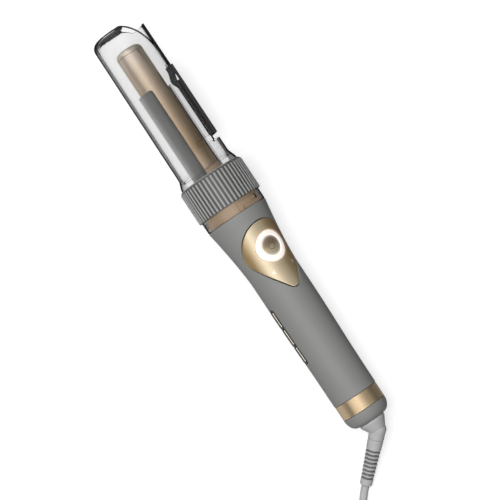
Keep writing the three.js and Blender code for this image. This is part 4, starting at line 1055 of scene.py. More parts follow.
def coil_points():
    """The flat coil: it spirals in, climbs one layer where it reverses, and spirals out"""
    points = []
    half = COIL_TURNS / 2
    for k in range(round(COIL_TURNS * COIL_STEPS) + 1):
        turn = k / COIL_STEPS
        away = abs(turn - half)
        eased = 0.125 + 2 * away**2 if away < 0.25 else away
        radius = COIL_INNER + COIL_PITCH * eased
        angle = math.pi + 2 * math.pi * turn
        climb = smoothstep(turn, half - 0.25, half + 0.25)
        x, y = COIL_CENTRE[0] + radius * math.cos(angle), COIL_CENTRE[1] + radius * math.sin(angle)
        points.append(Vector((x, y, CORD_RADIUS + COIL_RISE + COIL_LAYER * climb)))
    end_angle = math.pi + 2 * math.pi * COIL_TURNS
    onward = Vector((-math.sin(end_angle), math.cos(end_angle), 0))
    first = points[0] + Vector((0, 2 * CORD_RADIUS, 0))
    last = points[-1] + onward * 2 * CORD_RADIUS
    return [first, *points, last], onward


def plug_back():
    """The middle of the plug's end that the cord enters"""
    outer = COIL_INNER + COIL_PITCH * COIL_TURNS / 2
    points, _ = coil_points()
    left = COIL_CENTRE[0] - outer - CORD_RADIUS
    return Vector((left + PLUG_HALF_WIDTH, points[-1].y - TAIL_REACH, PLUG_HALF_HEIGHT))


def smooth_route(points, step=3.0):
    """Points along a centripetal spline through the given ones"""
    padded = [2 * points[0] - points[1], *points, 2 * points[-1] - points[-2]]
    result = []
    for p0, p1, p2, p3 in zip(padded, padded[1:], padded[2:], padded[3:]):
        t1 = (p1 - p0).length ** 0.5
        t2 = t1 + (p2 - p1).length ** 0.5
        t3 = t2 + (p3 - p2).length ** 0.5
        count = max(round((p2 - p1).length / step), 1)
        for k in range(count):
            t = t1 + (t2 - t1) * k / count
            a1 = p0.lerp(p1, t / t1)
            a2 = p1.lerp(p2, (t - t1) / (t2 - t1))
            a3 = p2.lerp(p3, (t - t2) / (t3 - t2))
            b1 = a1.lerp(a2, t / t2)
            b2 = a2.lerp(a3, (t - t1) / (t3 - t1))
            result.append(b1.lerp(b2, (t - t1) / (t2 - t1)))
    return result + [points[-1]]


def cord_route():
    """Every point of the cord's middle line, from the strain relief to the plug"""
    tip = boot_direction() * (BOOT_START + BOOT_LENGTH) + Vector((0, ELBOW_HEIGHT, 0))
    start = iron_point(*tip) * 1000
    onward = (iron_point(*(tip + boot_direction())) - iron_point(*tip)).normalized()
    coil, tail_way = coil_points()
    first = coil[0]
    lead = [
        start + onward * SEAT_GAP,
        start + onward * 6,
        Vector((-42.5, -226.5, 3.4)),
        Vector((-51, -236, 3.1)),
        Vector((-58, -247.5, 3.1)),
        Vector((-63.2, -259, 3.2)),
        Vector((-66.7, -270.5, 3.5)),
        Vector((first.x, first.y + 12, first.z)),
    ]
    back = plug_back()
    tail = [
        coil[-1] + tail_way * 2.5,
        Vector((back.x - 1.8, back.y + 11.3, 9.1)),
        Vector((back.x - 0.5, back.y + 6.2, 7.5)),
        Vector((back.x, back.y + 2.5, 6.9)),
        Vector((back.x, back.y + SEAT_GAP, back.z)),
    ]
    return smooth_route([*lead, *coil, *tail])


def tube_along(points, radius, sides=16):
    """A round tube along a line of points"""
    loops = []
    across = Vector((0, 0, 1))
    for k, point in enumerate(points):
        ahead = (points[min(k + 1, len(points) - 1)] - points[max(k - 1, 0)]).normalized()
        across = (across - ahead * across.dot(ahead)).normalized()
        beside = ahead.cross(across)
        loops.append([point + (across * cosine + beside * sine) * radius for sine, cosine in circle(sides)])
    return loft(loops)


# Outlines of the direction plate and the clear chamber


def plate_half_width(height, margin=0):
    lean = math.atan(PLATE_FLANK)
    nose = PLATE_NOSE + margin
    nose_centre = PLATE_LOW + PLATE_NOSE
    bow = PLATE_ARC + margin
    meeting = nose_centre - nose * math.sin(lean)
    if height < meeting:
        return math.sqrt(max(nose**2 - (height - nose_centre) ** 2, 0))
    flank = nose * math.cos(lean) + PLATE_FLANK * (height - meeting)
    over = max(height - (PLATE_HIGH - PLATE_ARC), 0)
    on_arc = math.sqrt(max(bow**2 - over**2, 0))
    blend = max(PLATE_BLEND - abs(flank - on_arc), 0) / PLATE_BLEND
    return max(min(flank, on_arc) - blend**2 * PLATE_BLEND / 4, 0)


def plate_rows(margin):
    """Rows of the plate's outline, grown by a margin"""

    def rows(inset):
        grow = margin - inset
        low, high = PLATE_LOW - grow, PLATE_HIGH + grow
        count = 72
        result = []
        for k in range(count + 1):
            height = low + (high - low) * (1 - math.cos(math.pi * k / count)) / 2
            half = 0 if k in (0, count) else plate_half_width(height, grow)
            result.append((height, -half, half))
        return result

    return rows


TUBE_TOP = CREST - DOME_CORNER - DOME_CROWN


def dome_line(corner, top):
    """The dome's line, from the tube over its rounded corner to the crown"""
    centre, level = TIP_RADIUS - DOME_CORNER, top - corner - DOME_CROWN
    line = [(centre + corner * cosine, level + corner * sine) for sine, cosine in arc(12, 84)]
    rim_radius, rim_height = line[-1]
    return line + [(rim_radius * share, top - (top - rim_height) * share**2) for share in (0.75, 0.5, 0.25, 0)]


def chamber_profile():
    """The clear chamber's wall, from the foot of its collar, over the dome and back inside"""
    low = RING_TOP + SEAT_GAP
    flare = []
    for k in range(13):
        share = smoothstep(k, 0, 12)
        flare.append((SEAT_RADIUS + (FOOT_RADIUS - SEAT_RADIUS) * share, low + (FLARE_TOP - low) * k / 12))
    tube = []
    for height in stations(FLARE_TOP, TUBE_TOP, 12)[1:-1]:
        share = (height - FLARE_TOP) / (TUBE_TOP - FLARE_TOP)
        tube.append((FOOT_RADIUS + (TIP_RADIUS - FOOT_RADIUS) * share, height))
    inside = dome_line(DOME_CORNER - CHAMBER_WALL, CREST - CHAMBER_WALL)
    foot = FOOT_RADIUS - CHAMBER_WALL
    skirt = NECK_RADIUS + 0.4
    return [
        (skirt, COLLAR_LOW + 0.3),
        (skirt + 0.3, COLLAR_LOW),
        (COLLAR_RADIUS - 0.35, COLLAR_LOW),
        (COLLAR_RADIUS, COLLAR_LOW + 0.35),
        (COLLAR_RADIUS, COLLAR_TOP),
        (SEAT_RADIUS, COLLAR_TOP),
        *flare,
        *tube,
        *dome_line(DOME_CORNER, CREST),
        *reversed(inside),
        *((radius - CHAMBER_WALL, height) for radius, height in reversed(tube)),
        (foot, FLARE_TOP),
        (foot, LEDGE_TOP),
        (LEDGE_RADIUS, LEDGE_TOP),
        (LEDGE_RADIUS, LEDGE_LOW),
        (skirt, LEDGE_LOW - 2),
        (skirt, COLLAR_LOW + 0.3),
    ]


def mouth_outline(low):
    """What the mouth takes away from above a height: everything outside a quarter of an ellipse"""
    rise = CREST + 0.6 - MOUTH_LOW
    start = math.asin(max(low - MOUTH_LOW, 0) / rise)
    points = []
    for k in range(25):
        angle = start + (math.pi / 2 - start) * k / 24
        reach = (MOUTH_RIGHT - MOUTH_LEFT) * math.cos(angle)
        points.append((MOUTH_LEFT + reach, MOUTH_LOW + rise * math.sin(angle)))
    return [*points, (MOUTH_LEFT, CREST + 10), (FOOT_RADIUS + 10, CREST + 10), (FOOT_RADIUS + 10, low)]


def sloping_mouth(far):
    """What the mouth takes from the near wall: its cut slopes, so the wall's edge shows from the front"""
    outline = mouth_outline(MOUTH_LOW)
    wide, high = MOUTH_RIGHT - MOUTH_LEFT, CREST + 0.6 - MOUTH_LOW
    loops = [[], [], [], []]
    for k, (x, y) in enumerate(outline):
        top, foot, shift = 20, 0.5, (0, 0)
        if k <= 24:
            normal = Vector(((x - MOUTH_LEFT) / wide**2, (y - MOUTH_LOW) / high**2)).normalized()
            shift = normal * MOUTH_SLOPE
            reach = TIP_RADIUS
            if y > TUBE_TOP:
                drop = min(y - TUBE_TOP, DOME_CORNER)
                reach += math.sqrt(DOME_CORNER**2 - drop**2) - DOME_CORNER
            top = math.sqrt(max(reach**2 - x**2, 1))
            foot = math.sqrt(max((reach - CHAMBER_WALL) ** 2 - x**2, 0.04))
        for loop, level, side in zip(loops, (-0.75, foot, top, far), (1, 1, -1, -1)):
            loop.append((x + shift[0] * side, y + shift[1] * side, level))
    return loft(loops)


# Settings


def millimetres(name, text, value, low=0.0, high=100.0):
    """A length that a user may change, kept in metres"""
    return FloatProperty(
        name=name,
        description=text,
        default=value * 0.001,
        min=low * 0.001,
        max=high * 0.001,
        unit="LENGTH",
        precision=5,
    )


def colour(name, text, code):
    return FloatVectorProperty(
        name=name,
        description=text,
        default=linear(code)[:3],
        min=0.0,
        max=1.0,
        size=3,
        subtype="COLOR",
    )


class CurlerShape(bpy.types.PropertyGroup):
    """Sizes of the details that a user may change"""

    rib_count: IntProperty(name="Ribs", description="Ribs round the locking ring", default=50, min=8, max=90)
    rib_depth: millimetres("Rib depth", "How far the ribs stand out of the locking ring", 0.95, 0.1, 2)
    rib_width: millimetres("Rib width", "Width of one rib of the locking ring", 1.65, 0.2, 3)
    plate_edge: millimetres("Plate edge", "Rounding of the direction plate's edge", 0.55, 0.05, 1)
    key_edge: millimetres("Key edge", "Rounding of the side keys' edges", 0.4, 0.05, 1)
    parting_line: millimetres("Parting line", "Depth of the line between the handle's two shells", 0.15, 0, 0.5)
    button_dish: millimetres("Button dish", "How hollow the power button's face is", 0.25, 0, 1)
    boot_grooves: IntProperty(
        name="Boot grooves", description="Grooves in the strain relief", default=8, min=2, max=10
    )
    groove_depth: millimetres("Groove depth", "Depth of the strain relief's grooves", 1.4, 0.2, 2)
    guide_teeth: IntProperty(
        name="Guide teeth", description="Fine teeth along the hair guide", default=26, min=2, max=60
    )


class CurlerColours(bpy.types.PropertyGroup):
    """Colours of the finishes that have one main colour"""

    grey: colour("Handle", "Soft grey of the handle and the end cap", "9b9c99")
    rib_grey: colour("Locking ring", "Dark grey of the ribbed ring", "5c5c5c")
    gold: colour("Gold", "Gold of the direction plate", "e6d6b8")
    neck_gold: colour("Neck", "Brown gold of the neck and the turntable", "a89077")
    band_gold: colour("Band", "Gold of the band near the handle's end", "d9c09c")
    black: colour("Black", "Black of the inlay, the keys and the hair guide", "0e0e0f")
    cord_grey: colour("Cord", "Light grey of the mains lead", "cfd0cf")
    floor: colour("Floor", "Colour of the floor", "b8b8b8")


class CurlerStage(bpy.types.PropertyGroup):
    """Camera and lights"""

    eye_distance: millimetres("Eye distance", "From the camera to the iron", 1700, 500, 5000)
    view_width: millimetres("View width", "Width of the view at the iron", 375, 100, 2000)
    lean: FloatProperty(
        name="Lean",
        description="How far the iron leans to the left in the view",
        default=math.radians(33.5),
        subtype="ANGLE",
        unit="ROTATION",
    )
    key_power: FloatProperty(name="Key light", description="Power of the main lamp", default=17.5, unit="POWER")
    fill_power: FloatProperty(name="Fill light", description="Power of the side lamp", default=0.4, unit="POWER")
    sky_strength: FloatProperty(
        name="Sky", description="Strength of the light from all sides", default=0.07, min=0, max=2
    )


# Operators


class PieceOperator:
    """What the operators share"""

    bl_options = {"REGISTER", "UNDO"}

    def execute(self, context):
        self.make(context.scene.curler_shape)
        return {"FINISHED"}


def lamp(name, place, size, power):
    """A round lamp turned to the iron, which mirrors and clear plastic don't show"""
    light = bpy.data.lights.new(name, "AREA")
    light.shape = "DISK"
    light.size = size
    light.energy = power
    stand = add_object(name, light)
    stand.location = place
    stand.rotation_euler = (iron_point(0, 170, 0) - place).to_track_quat("-Z", "Y").to_euler()
    stand.visible_glossy = False
    stand.visible_transmission = False


# Brightness of the sky for mirrored rays, from the left to the right
SKY_BANDS = [(0.0, 0.25), (0.03, 0.14), (0.07, 0.14), (0.12, 0.34), (0.2, 0.52), (0.3, 0.62), (0.47, 0.72)]
SKY_BANDS += [(0.6, 0.5), (0.7, 0.36), (0.8, 0.22), (0.885, 0.2), (0.945, 0.13), (0.985, 0.08), (1.0, 0.06)]


class CURLER_OT_stage(bpy.types.Operator):
    """Sets up the camera, the lamps, the sky and the floor"""

    bl_idname = "curler.stage"
    bl_label = "Stage"
    bl_options = {"REGISTER", "UNDO"}

    def execute(self, context):
        stage = context.scene.curler_stage
        self.camera(context.scene, stage)
        self.sky(context.scene, stage)
        self.floor()
        lamp("key_lamp", iron_point(-220, 240, 1500), 1.0, stage.key_power)
        lamp("fill_lamp", iron_point(-900, 500, 700), 0.8, stage.fill_power)
        return {"FINISHED"}

    def camera(self, scene, stage):
        lens = bpy.data.cameras.new("photo_camera")
        eye = add_object("photo_camera", lens)
        place = iron_point(-5.8, 117, stage.eye_distance * 1000)
        ahead = (iron_point(-5.8, 155.9, 0) - place).normalized()
        above = RIGHT * math.sin(stage.lean) + AXIS * math.cos(stage.lean)
        beside = ahead.cross(above).normalized()
        above = beside.cross(ahead)
        eye.matrix_world = Matrix.Translation(place) @ Matrix((beside, above, -ahead)).transposed().to_4x4()
        lens.sensor_width = 36
        lens.lens = lens.sensor_width * stage.eye_distance / stage.view_width
        lens.clip_end = 50
        scene.camera = eye

    def sky(self, scene, stage):
        """A white sky for what is seen straight or through plastic, bands for mirrors, dim for the rest"""
        world = bpy.data.worlds.new("studio")
        world.use_nodes = True
        tree = world.node_tree
        seen, mirrored, _ = rays(tree)
        level = calc(tree, "MULTIPLY_ADD", seen, 1.0 - stage.sky_strength, stage.sky_strength)
        level = calc(tree, "MULTIPLY_ADD", mirrored, seen, level)
        way = put(tree, "ShaderNodeSeparateXYZ", {0: put(tree, "ShaderNodeTexCoord").outputs["Generated"]})
        bands = ramp(tree, calc(tree, "MULTIPLY_ADD", way.outputs["X"], 0.5, 0.5), SKY_BANDS)
        feed(tree, tree.nodes["Background"], {"Strength": level, "Color": blend(tree, mirrored, 1.0, bands)})
        scene.world = world
        scene.view_settings.view_transform = "Standard"

    def floor(self):
        form = Form()
        form.faces.append([form.corner(x, y, -0.1) for x, y in rectangle(FLOOR_REACH, -FLOOR_REACH, FLOOR_REACH)])
        ground = mesh_object("floor", form, floor_point)
        ground.data.materials.append(finish("pale_floor"))


class CURLER_OT_mains_cord(PieceOperator, bpy.types.Operator):
    """Lays the mains cord, its tied coil and the strap round it"""

    bl_idname = "curler.mains_cord"
    bl_label = "Mains cord"

    def make(self, shape):
        route = cord_route()
        cord = mesh_object("mains_cord", tube_along(route, CORD_RADIUS), floor_point, sharp=60)
        settle(cord, "lead", "cord_grey", "cord_grey", "cord_lead", "cord_coil", "cord_tail")
        strap = mesh_object("coil_strap", self.strap(), floor_point, sharp=50)
        settle(strap, "lead", "strap_weave", "black_plastic", "cord_tie")

    def strap(self):
        thick = TIE_THICKNESS
        inner = math.sqrt((COIL_INNER - CORD_RADIUS) ** 2 - TIE_HALF_WIDTH**2) - SEAT_GAP
        outer = COIL_INNER + COIL_PITCH * COIL_TURNS / 2 + CORD_RADIUS + SEAT_GAP
        top = COIL_RISE + 2 * CORD_RADIUS + COIL_LAYER + SEAT_GAP
        low = COIL_RISE - SEAT_GAP
        outside = [
            (inner - thick, low - thick),
            (outer + thick, low - thick),
            (outer + thick, top - 3),
            (outer - 2, top + thick),
            (inner + 1, top + thick),
            (inner - thick, top - 1.5),
        ]
        inside = [
            (inner, low),
            (outer, low),
            (outer, top - 3.3),
            (outer - 2.3, top),
            (inner + 1.2, top),
            (inner, top - 1.8),
        ]
        outside, inside = soften(outside, 0.9), soften(inside, 0.5)
        form = Form()
        half = TIE_HALF_WIDTH
        rows = []
        for share, across in ((0.5, -half), (0.0, -half + 0.15), (0.0, half - 0.15), (0.5, half)):
            row = []
            for (x, z), (inner_x, inner_z) in zip(outside, inside):
                away, level = x + (inner_x - x) * share, z + (inner_z - z) * share
                row.append(form.corner(COIL_CENTRE[0] + across, COIL_CENTRE[1] - away, level))
            rows.append(row)
        for across in (half - 0.15, -half + 0.15):
            rows.append([form.corner(COIL_CENTRE[0] + across, COIL_CENTRE[1] - x, z) for x, z in inside])
        return form.skin(rows, ring=True)


class CURLER_OT_plug(PieceOperator, bpy.types.Operator):
    bl_idname = "curler.plug"
    bl_label = "Plug"

    def make(self, shape):
        back = plug_back()
        body = mesh_object("plug", self.body(back), floor_point, sharp=50)
        settle(body, "lead", "cord_grey", "cord_grey", "plug_body")
        for number, hand in ((1, -1), (2, 1)):
            low = back.y - PLUG_LENGTH - SEAT_GAP - PIN_LENGTH
            profile = [(0, low), (0.9, low + 0.05), (1.6, low + 0.4), (1.95, low + 1.1), (PIN_RADIUS, low + 1.8)]
            profile += [(PIN_RADIUS, low + PIN_LENGTH), (0, low + PIN_LENGTH)]
            form = along((0, 1, 0), (back.x + hand * PIN_SPACING / 2, 0, back.z))(lathe(profile, 32))
            pin = mesh_object(f"pin_{number}", form, floor_point)
            settle(pin, "lead", "plug_brass", "brass", f"plug_pin_{number}")

    def body(self, back):
        """The plug grows from the cord's width to its full width, with shallow grips on its sides"""
        loops = []
        insets = {0: 0.9, PLUG_LENGTH - 0.8: 0.12, PLUG_LENGTH - 0.25: 0.5, PLUG_LENGTH: 1.3}
        places = [0, 0.6, *stations(2, PLUG_SHOULDER, 1.4), *stations(PLUG_SHOULDER + 1, PLUG_LENGTH - 1.5, 0.9)]
        start = smoothstep(0, -4, PLUG_SHOULDER)
        for place in (*places, *list(insets)[1:]):
            share = (smoothstep(place, -4, PLUG_SHOULDER) - start) / (1 - start)
            half_width = 5 + (PLUG_HALF_WIDTH - 5) * share
            half_height = 4.6 + (PLUG_HALF_HEIGHT - 4.6) * min(share * 1.6, 1)
            inset = insets.get(place, 0)
            grip = 0.35 * max(math.sin(2 * math.pi * (place - 20) / 3), 0) if 20 < place < 29 else 0
            loop = []
            for sine, cosine in circle(48):
                x = (half_width - inset - grip) * math.copysign(math.sqrt(abs(cosine)), cosine)
                z = (half_height - inset) * math.copysign(math.sqrt(abs(sine)), sine)
                loop.append((back.x + x, back.y - place, back.z + z))
            loops.append(loop)
        return loft(loops)


class CURLER_OT_swivel_stub(PieceOperator, bpy.types.Operator):
    """Makes the swivel stub with its elbow, and the ribbed strain relief"""

    bl_idname = "curler.swivel_stub"
    bl_label = "Swivel stub"

    def make(self, shape):
        skirt = [(SHAFT_RADIUS, -0.3), (STUB_RADIUS, -0.3), (STUB_RADIUS, -1.9)]
        skirt += [(ELBOW_RADIUS + 0.6, -STUB_LENGTH), (ELBOW_RADIUS, ELBOW_HEIGHT)]
        ball = [(ELBOW_RADIUS * cosine, ELBOW_HEIGHT - ELBOW_RADIUS * sine) for sine, cosine in arc(12)[1:-1]]
        profile = [
            (0, FLANGE_TOP),
            (FLANGE_RADIUS - 0.3, FLANGE_TOP),
            (FLANGE_RADIUS, FLANGE_TOP - 0.3),
            (FLANGE_RADIUS, FLANGE_LOW + 0.3),
            (FLANGE_RADIUS - 0.3, FLANGE_LOW),
            (SHAFT_RADIUS, FLANGE_LOW),
            *soften(skirt, [0, 0.4, 0.8, 0.8, 0], closed=False),
            *ball,
            (0, ELBOW_HEIGHT - ELBOW_RADIUS),
        ]
        stub = mesh_object("swivel_elbow", lathe(profile, 72), sharp=30)
        lay = along(boot_direction(), (0, ELBOW_HEIGHT, 0))
        reach = BOOT_START - SEAT_GAP
        arm = soften([(0, 0), (ARM_RADIUS, 0), (ARM_RADIUS, reach), (0, reach)], [0, 0, 0.5, 0], closed=False)
        combine(stub, [mesh_object("elbow_arm", lay(lathe(arm, 48)))], "UNION", sharp=30)
        settle(stub, "lead", "cord_grey", "cord_grey", "swivel_stub")
        boot = mesh_object("ribbed_boot", lay(lathe(self.boot(shape), 48)), sharp=50)
        settle(boot, "lead", "boot_grey", "cord_grey", "strain_relief")

    def boot(self, shape):
        """The strain relief's outline: a cone, with grooves between two plain cuffs"""
        pitch = (BOOT_LENGTH - BOOT_CUFFS) / shape.boot_grooves
        depth = shape.groove_depth * 1000
        top = BOOT_START + BOOT_LENGTH
        profile = [(0, BOOT_START), (BOOT_RADIUS - 0.4, BOOT_START), (BOOT_RADIUS, BOOT_START + 0.4)]
        for place in stations(1, BOOT_LENGTH - 0.8, 0.2):
            radius = BOOT_RADIUS + (BOOT_TIP_RADIUS - BOOT_RADIUS) * place / BOOT_LENGTH
            phase = (place - GROOVE_START) % pitch
            if 0 <= place - GROOVE_START < pitch * shape.boot_grooves and phase < GROOVE_WIDTH:
                radius -= depth * math.sin(math.pi * phase / GROOVE_WIDTH) ** 0.3
            profile.append((radius, BOOT_START + place))
        return profile + [(BOOT_TIP_RADIUS - 0.25, top - 0.25), (BOOT_TIP_RADIUS - 0.8, top), (0, top)]


class CURLER_OT_end_cap(PieceOperator, bpy.types.Operator):
    """Makes the end cap and the gold band"""

    bl_idname = "curler.end_cap"
    bl_label = "End cap and band"

    def make(self, shape):
        grown = BAND_RADIUS - CAP_MOUTH
        dome = [(CAP_MOUTH + grown * sine, CAP_LENGTH * (1 - cosine)) for sine, cosine in arc(24)[:-1]]
        profile = [(CAP_HOLE, 0.25), (CAP_HOLE + 0.25, 0), *dome, (BAND_RADIUS, CAP_LENGTH - 0.15)]
        profile += [(BAND_RADIUS - 0.15, CAP_LENGTH), (CAP_SPIGOT, CAP_LENGTH), (CAP_SPIGOT, CAP_SPIGOT_TOP)]
        profile += [(CAP_BORE, CAP_SPIGOT_TOP), (CAP_BORE, CAP_FLOOR), (CAP_HOLE, CAP_FLOOR)]
        cap = mesh_object("handle_cap", lathe(profile, 128, closed=True))
        settle(cap, "handle", "soft_grey", "soft_grey", "end_cap")
        inner = BAND_RADIUS - BAND_WALL
        low = CAP_LENGTH + SEAT_GAP
        outline = [(inner, low), (BAND_RADIUS, low), (BAND_RADIUS, BAND_TOP), (inner, BAND_TOP)]
        band = mesh_object("handle_band", lathe(soften(outline, [0.1, 0.35, 0.35, 0.1]), 128, closed=True))
        settle(band, "handle", "gold_metal", "gold_metal", "gold_band")


class CURLER_OT_handle_shells(PieceOperator, bpy.types.Operator):
    """Makes the handle's front shell and rear cover"""

    bl_idname = "curler.handle_shells"
    bl_label = "Handle shells"

    def make(self, shape):
        line = shape.parting_line * 1000
        front = mesh_object("handle_front", self.half(PARTING_LEFT, PARTING_RIGHT, line))
        layers = [(-0.6, -4), (-0.6, -0.3), (-0.15, 0.05), (0, 0.35), (0, SHELL_WALL + 1)]
        window = wrapped(plate_rows(GROOVE_GAP), layers, handle_radius)
        window = mesh_object("plate_window", window, turned(PLATE_ANGLE))
        half_length = INLAY_LENGTH / 2 + SEAT_GAP
        half_width = INLAY_WIDTH / 2 + SEAT_GAP
        rows = rounded_rows(half_width, KEY_CENTRE - half_length, KEY_CENTRE + half_length, INLAY_CORNER)
        layers = [(-0.35, -4), (-0.35, -0.2), (0, 0.3), (0, SHELL_WALL + 1)]
        slot = mesh_object("key_window", wrapped(rows, layers, handle_radius), turned(KEY_ANGLE))
        combine(front, [window, slot], "DIFFERENCE", sharp=30)
        settle(front, "handle", "soft_grey", "soft_grey", "front_shell")
        rear = mesh_object("handle_rear", self.half(PARTING_RIGHT + 0.4, 360 + PARTING_LEFT - 0.4, line))
        sinks, bosses = [], []
        for height in screw_heights():
            outside = -handle_radius(height)
            sink = [(0, -30), (SCREW_WELL + 0.4, -30), (SCREW_WELL + 0.4, outside + 0.35)]
            sink += [(SCREW_WELL, outside + 0.75), (SCREW_WELL, -13.3), (1.6, -13.3), (1.6, -3.3), (0, -3.3)]
            boss = [(0, outside + 1), (SCREW_BOSS, outside + 1), (SCREW_BOSS, -4.3), (0, -4.3)]
            sinks.append(mesh_object("screw_sink", upright(lathe(sink, 40), height), turned(PLATE_ANGLE)))
            bosses.append(mesh_object("screw_boss", upright(lathe(boss, 32), height), turned(PLATE_ANGLE)))
        combine(rear, bosses, "UNION", sharp=30)
        combine(rear, sinks, "DIFFERENCE", sharp=30)
        settle(rear, "handle", "soft_grey", "soft_grey", "rear_cover")

    def half(self, start, end, line):
        """Half of the handle's wall, with a fine step down along its long edges"""
        low = CAP_LENGTH + SEAT_GAP
        step_low = BAND_TOP + SEAT_GAP
        heights = [*stations(step_low + 0.3, HEAD_START, 4), *stations(HEAD_START, HANDLE_TOP - 0.5, 2.5)[1:]]
        foot_inner = SHELL_FOOT - SHELL_FOOT_WALL
        outer = [(SHELL_FOOT, low), (SHELL_FOOT, step_low), (handle_radius(step_low) - 0.3, step_low)]
        inner = [(foot_inner, low), (foot_inner, step_low), (foot_inner, step_low)]
        for height in heights:
            outer.append((handle_radius(height), height))
            inner.append((max(handle_radius(height) - SHELL_WALL, foot_inner), height))
        rim = handle_radius(HANDLE_TOP)
        outer += [(rim - 0.12, HANDLE_TOP - 0.2), (rim - 0.5, HANDLE_TOP)]
        inner += [(rim - SHELL_WALL, HANDLE_TOP - 0.2), (rim - SHELL_WALL, HANDLE_TOP)]
        form = Form()
        columns = []
        edge = 0.45
        angles = [start, start + edge, *stations(start + 2 * edge, end - 2 * edge, 2.5), end - edge, end]
        for angle in angles:
            drop = line if angle in (start, end) else 0
            sine, cosine = sin_cos(angle)
            outside = [form.corner((r - drop) * sine, y, (r - drop) * cosine) for r, y in outer]
            inside = [form.corner(r * sine, y, r * cosine) for r, y in inner]
            columns.append((outside, inside))
        for first, second in zip(columns, columns[1:]):
            form.strip(first[0] + first[1][::-1], second[0] + second[1][::-1])
        for outside, inside in (columns[0], columns[-1]):
            form.strip(outside, inside, closed=False)
        return form


def screw_heights():
    return [BAND_TOP + (HANDLE_TOP - BAND_TOP) * share for share in SCREW_SHARES]


class CURLER_OT_cover_screws(PieceOperator, bpy.types.Operator):
    """Sets the rear cover's three cross-head screws on their points"""

    bl_idname = "curler.cover_screws"
    bl_label = "Cover screws"

    def make(self, shape):
        place = from_foot(turned(PLATE_ANGLE))
        low = SCREW_LEVEL
        head = [(0, low - 1.9), (1.4, low - 1.85), (2.2, low - 1.6), (2.65, low - 1.1), (2.7, low - 0.4)]
        head += [(2.6, low), (1.3, low), (1.3, 1.3), (1.1, 1.5), (0, 1.5)]
        for number, height in enumerate(screw_heights(), 1):
            screw = mesh_object("screw_source", upright(lathe(head, 40)), place)
            arms = []
            for wide, long in ((0.3, 1.7), (1.7, 0.3)):
                arm = prism(rectangle(wide, -long, long), low - 3, low - 1)
                arms.append(mesh_object("cross_arm", arm, place))
            combine(screw, arms, "DIFFERENCE")
            piece = repeat_on(f"cover_screw_{number}_piece", screw, [iron_point(0, height, 0)], "steel")
            settle(piece, "handle", None, "steel", f"cover_screw_{number}")


class CURLER_OT_neck(PieceOperator, bpy.types.Operator):
    """Makes the gold neck, with the three studs that the chamber locks on"""

    bl_idname = "curler.neck"
    bl_label = "Neck"

    def make(self, shape):
        foot = HANDLE_TOP - 4.1
        spigot = handle_radius(foot) - SHELL_WALL - SEAT_GAP
        outline = [
            (NECK_INNER, foot),
            (spigot, foot),
            (spigot, COLLAR_LOW),
            (NECK_RADIUS, COLLAR_LOW),
            (NECK_RADIUS, NECK_TOP),
            (NECK_INNER, NECK_TOP),
        ]
        neck = mesh_object("gold_neck", lathe(soften(outline, [0, 0, 0, 0.2, 0.5, 0.3]), 128, closed=True))
        low, high = NECK_RADIUS - 0.8, COLLAR_RADIUS - 1.1
        profile = [(0, low), (STUD_RADIUS, low), (STUD_RADIUS, high - 0.4), (STUD_RADIUS - 0.35, high), (0, high)]
        stud = upright(lathe(profile, 32), STUD_HEIGHT)
        source = mesh_object("stud", stud, untilted(turned(STUD_ANGLES[0])))
        studs = repeat_round("neck_studs", source, len(STUD_ANGLES), "gold_plastic")
        combine(neck, [studs], "UNION")
        settle(neck, "handle", "gold_plastic", "gold_plastic", "neck_ring")


class CURLER_OT_direction_plate(PieceOperator, bpy.types.Operator):
    """Makes the rocking plate that chooses the direction of the curl"""

    bl_idname = "curler.direction_plate"
    bl_label = "Direction plate"

    def make(self, shape):
        layers = edge_layers(shape.plate_edge * 1000, PLATE_THICKNESS)
        plate = wrapped(plate_rows(0), layers, handle_radius, 28)
        plate = mesh_object("direction_plate", plate, turned(PLATE_ANGLE))
        seat = [(0, -3), (SEAT_INNER + 0.5, -3), (SEAT_INNER + 0.5, 0.02), (SEAT_INNER, 0.4)]
        cutter = mesh_object("button_seat", surface_rings(seat, 5), turned(PLATE_ANGLE))
        combine(plate, [cutter], "DIFFERENCE", sharp=30)
        inner = surface_rings([(SEAT_INNER, 1.9), (SEAT_INNER + 1.3, 1.9)], SEAT_FLOOR)
        for low in (PLATE_LOW + 3.5, PLATE_HIGH - 6.9):
            lug = soften(rectangle(3.2, low, low + 3.4), 0.3)
            inner.add(prism(lug, PIVOT_REACH + 1.9, handle_radius(low) - 1.2))
        works = mesh_object("plate_works", inner, turned(PLATE_ANGLE))
        plate = joined(plate, works)
        settle(plate, "direction_rocker", "gold_plate", "gold_plastic", "rocker_plate")


def joined(first, second):
    """Two closed pieces kept in one mesh"""
    work = bmesh.new()
    work.from_mesh(first.data)
    work.from_mesh(second.data)
    work.to_mesh(first.data)
    work.free()
    bpy.data.meshes.remove(second.data)
    return first


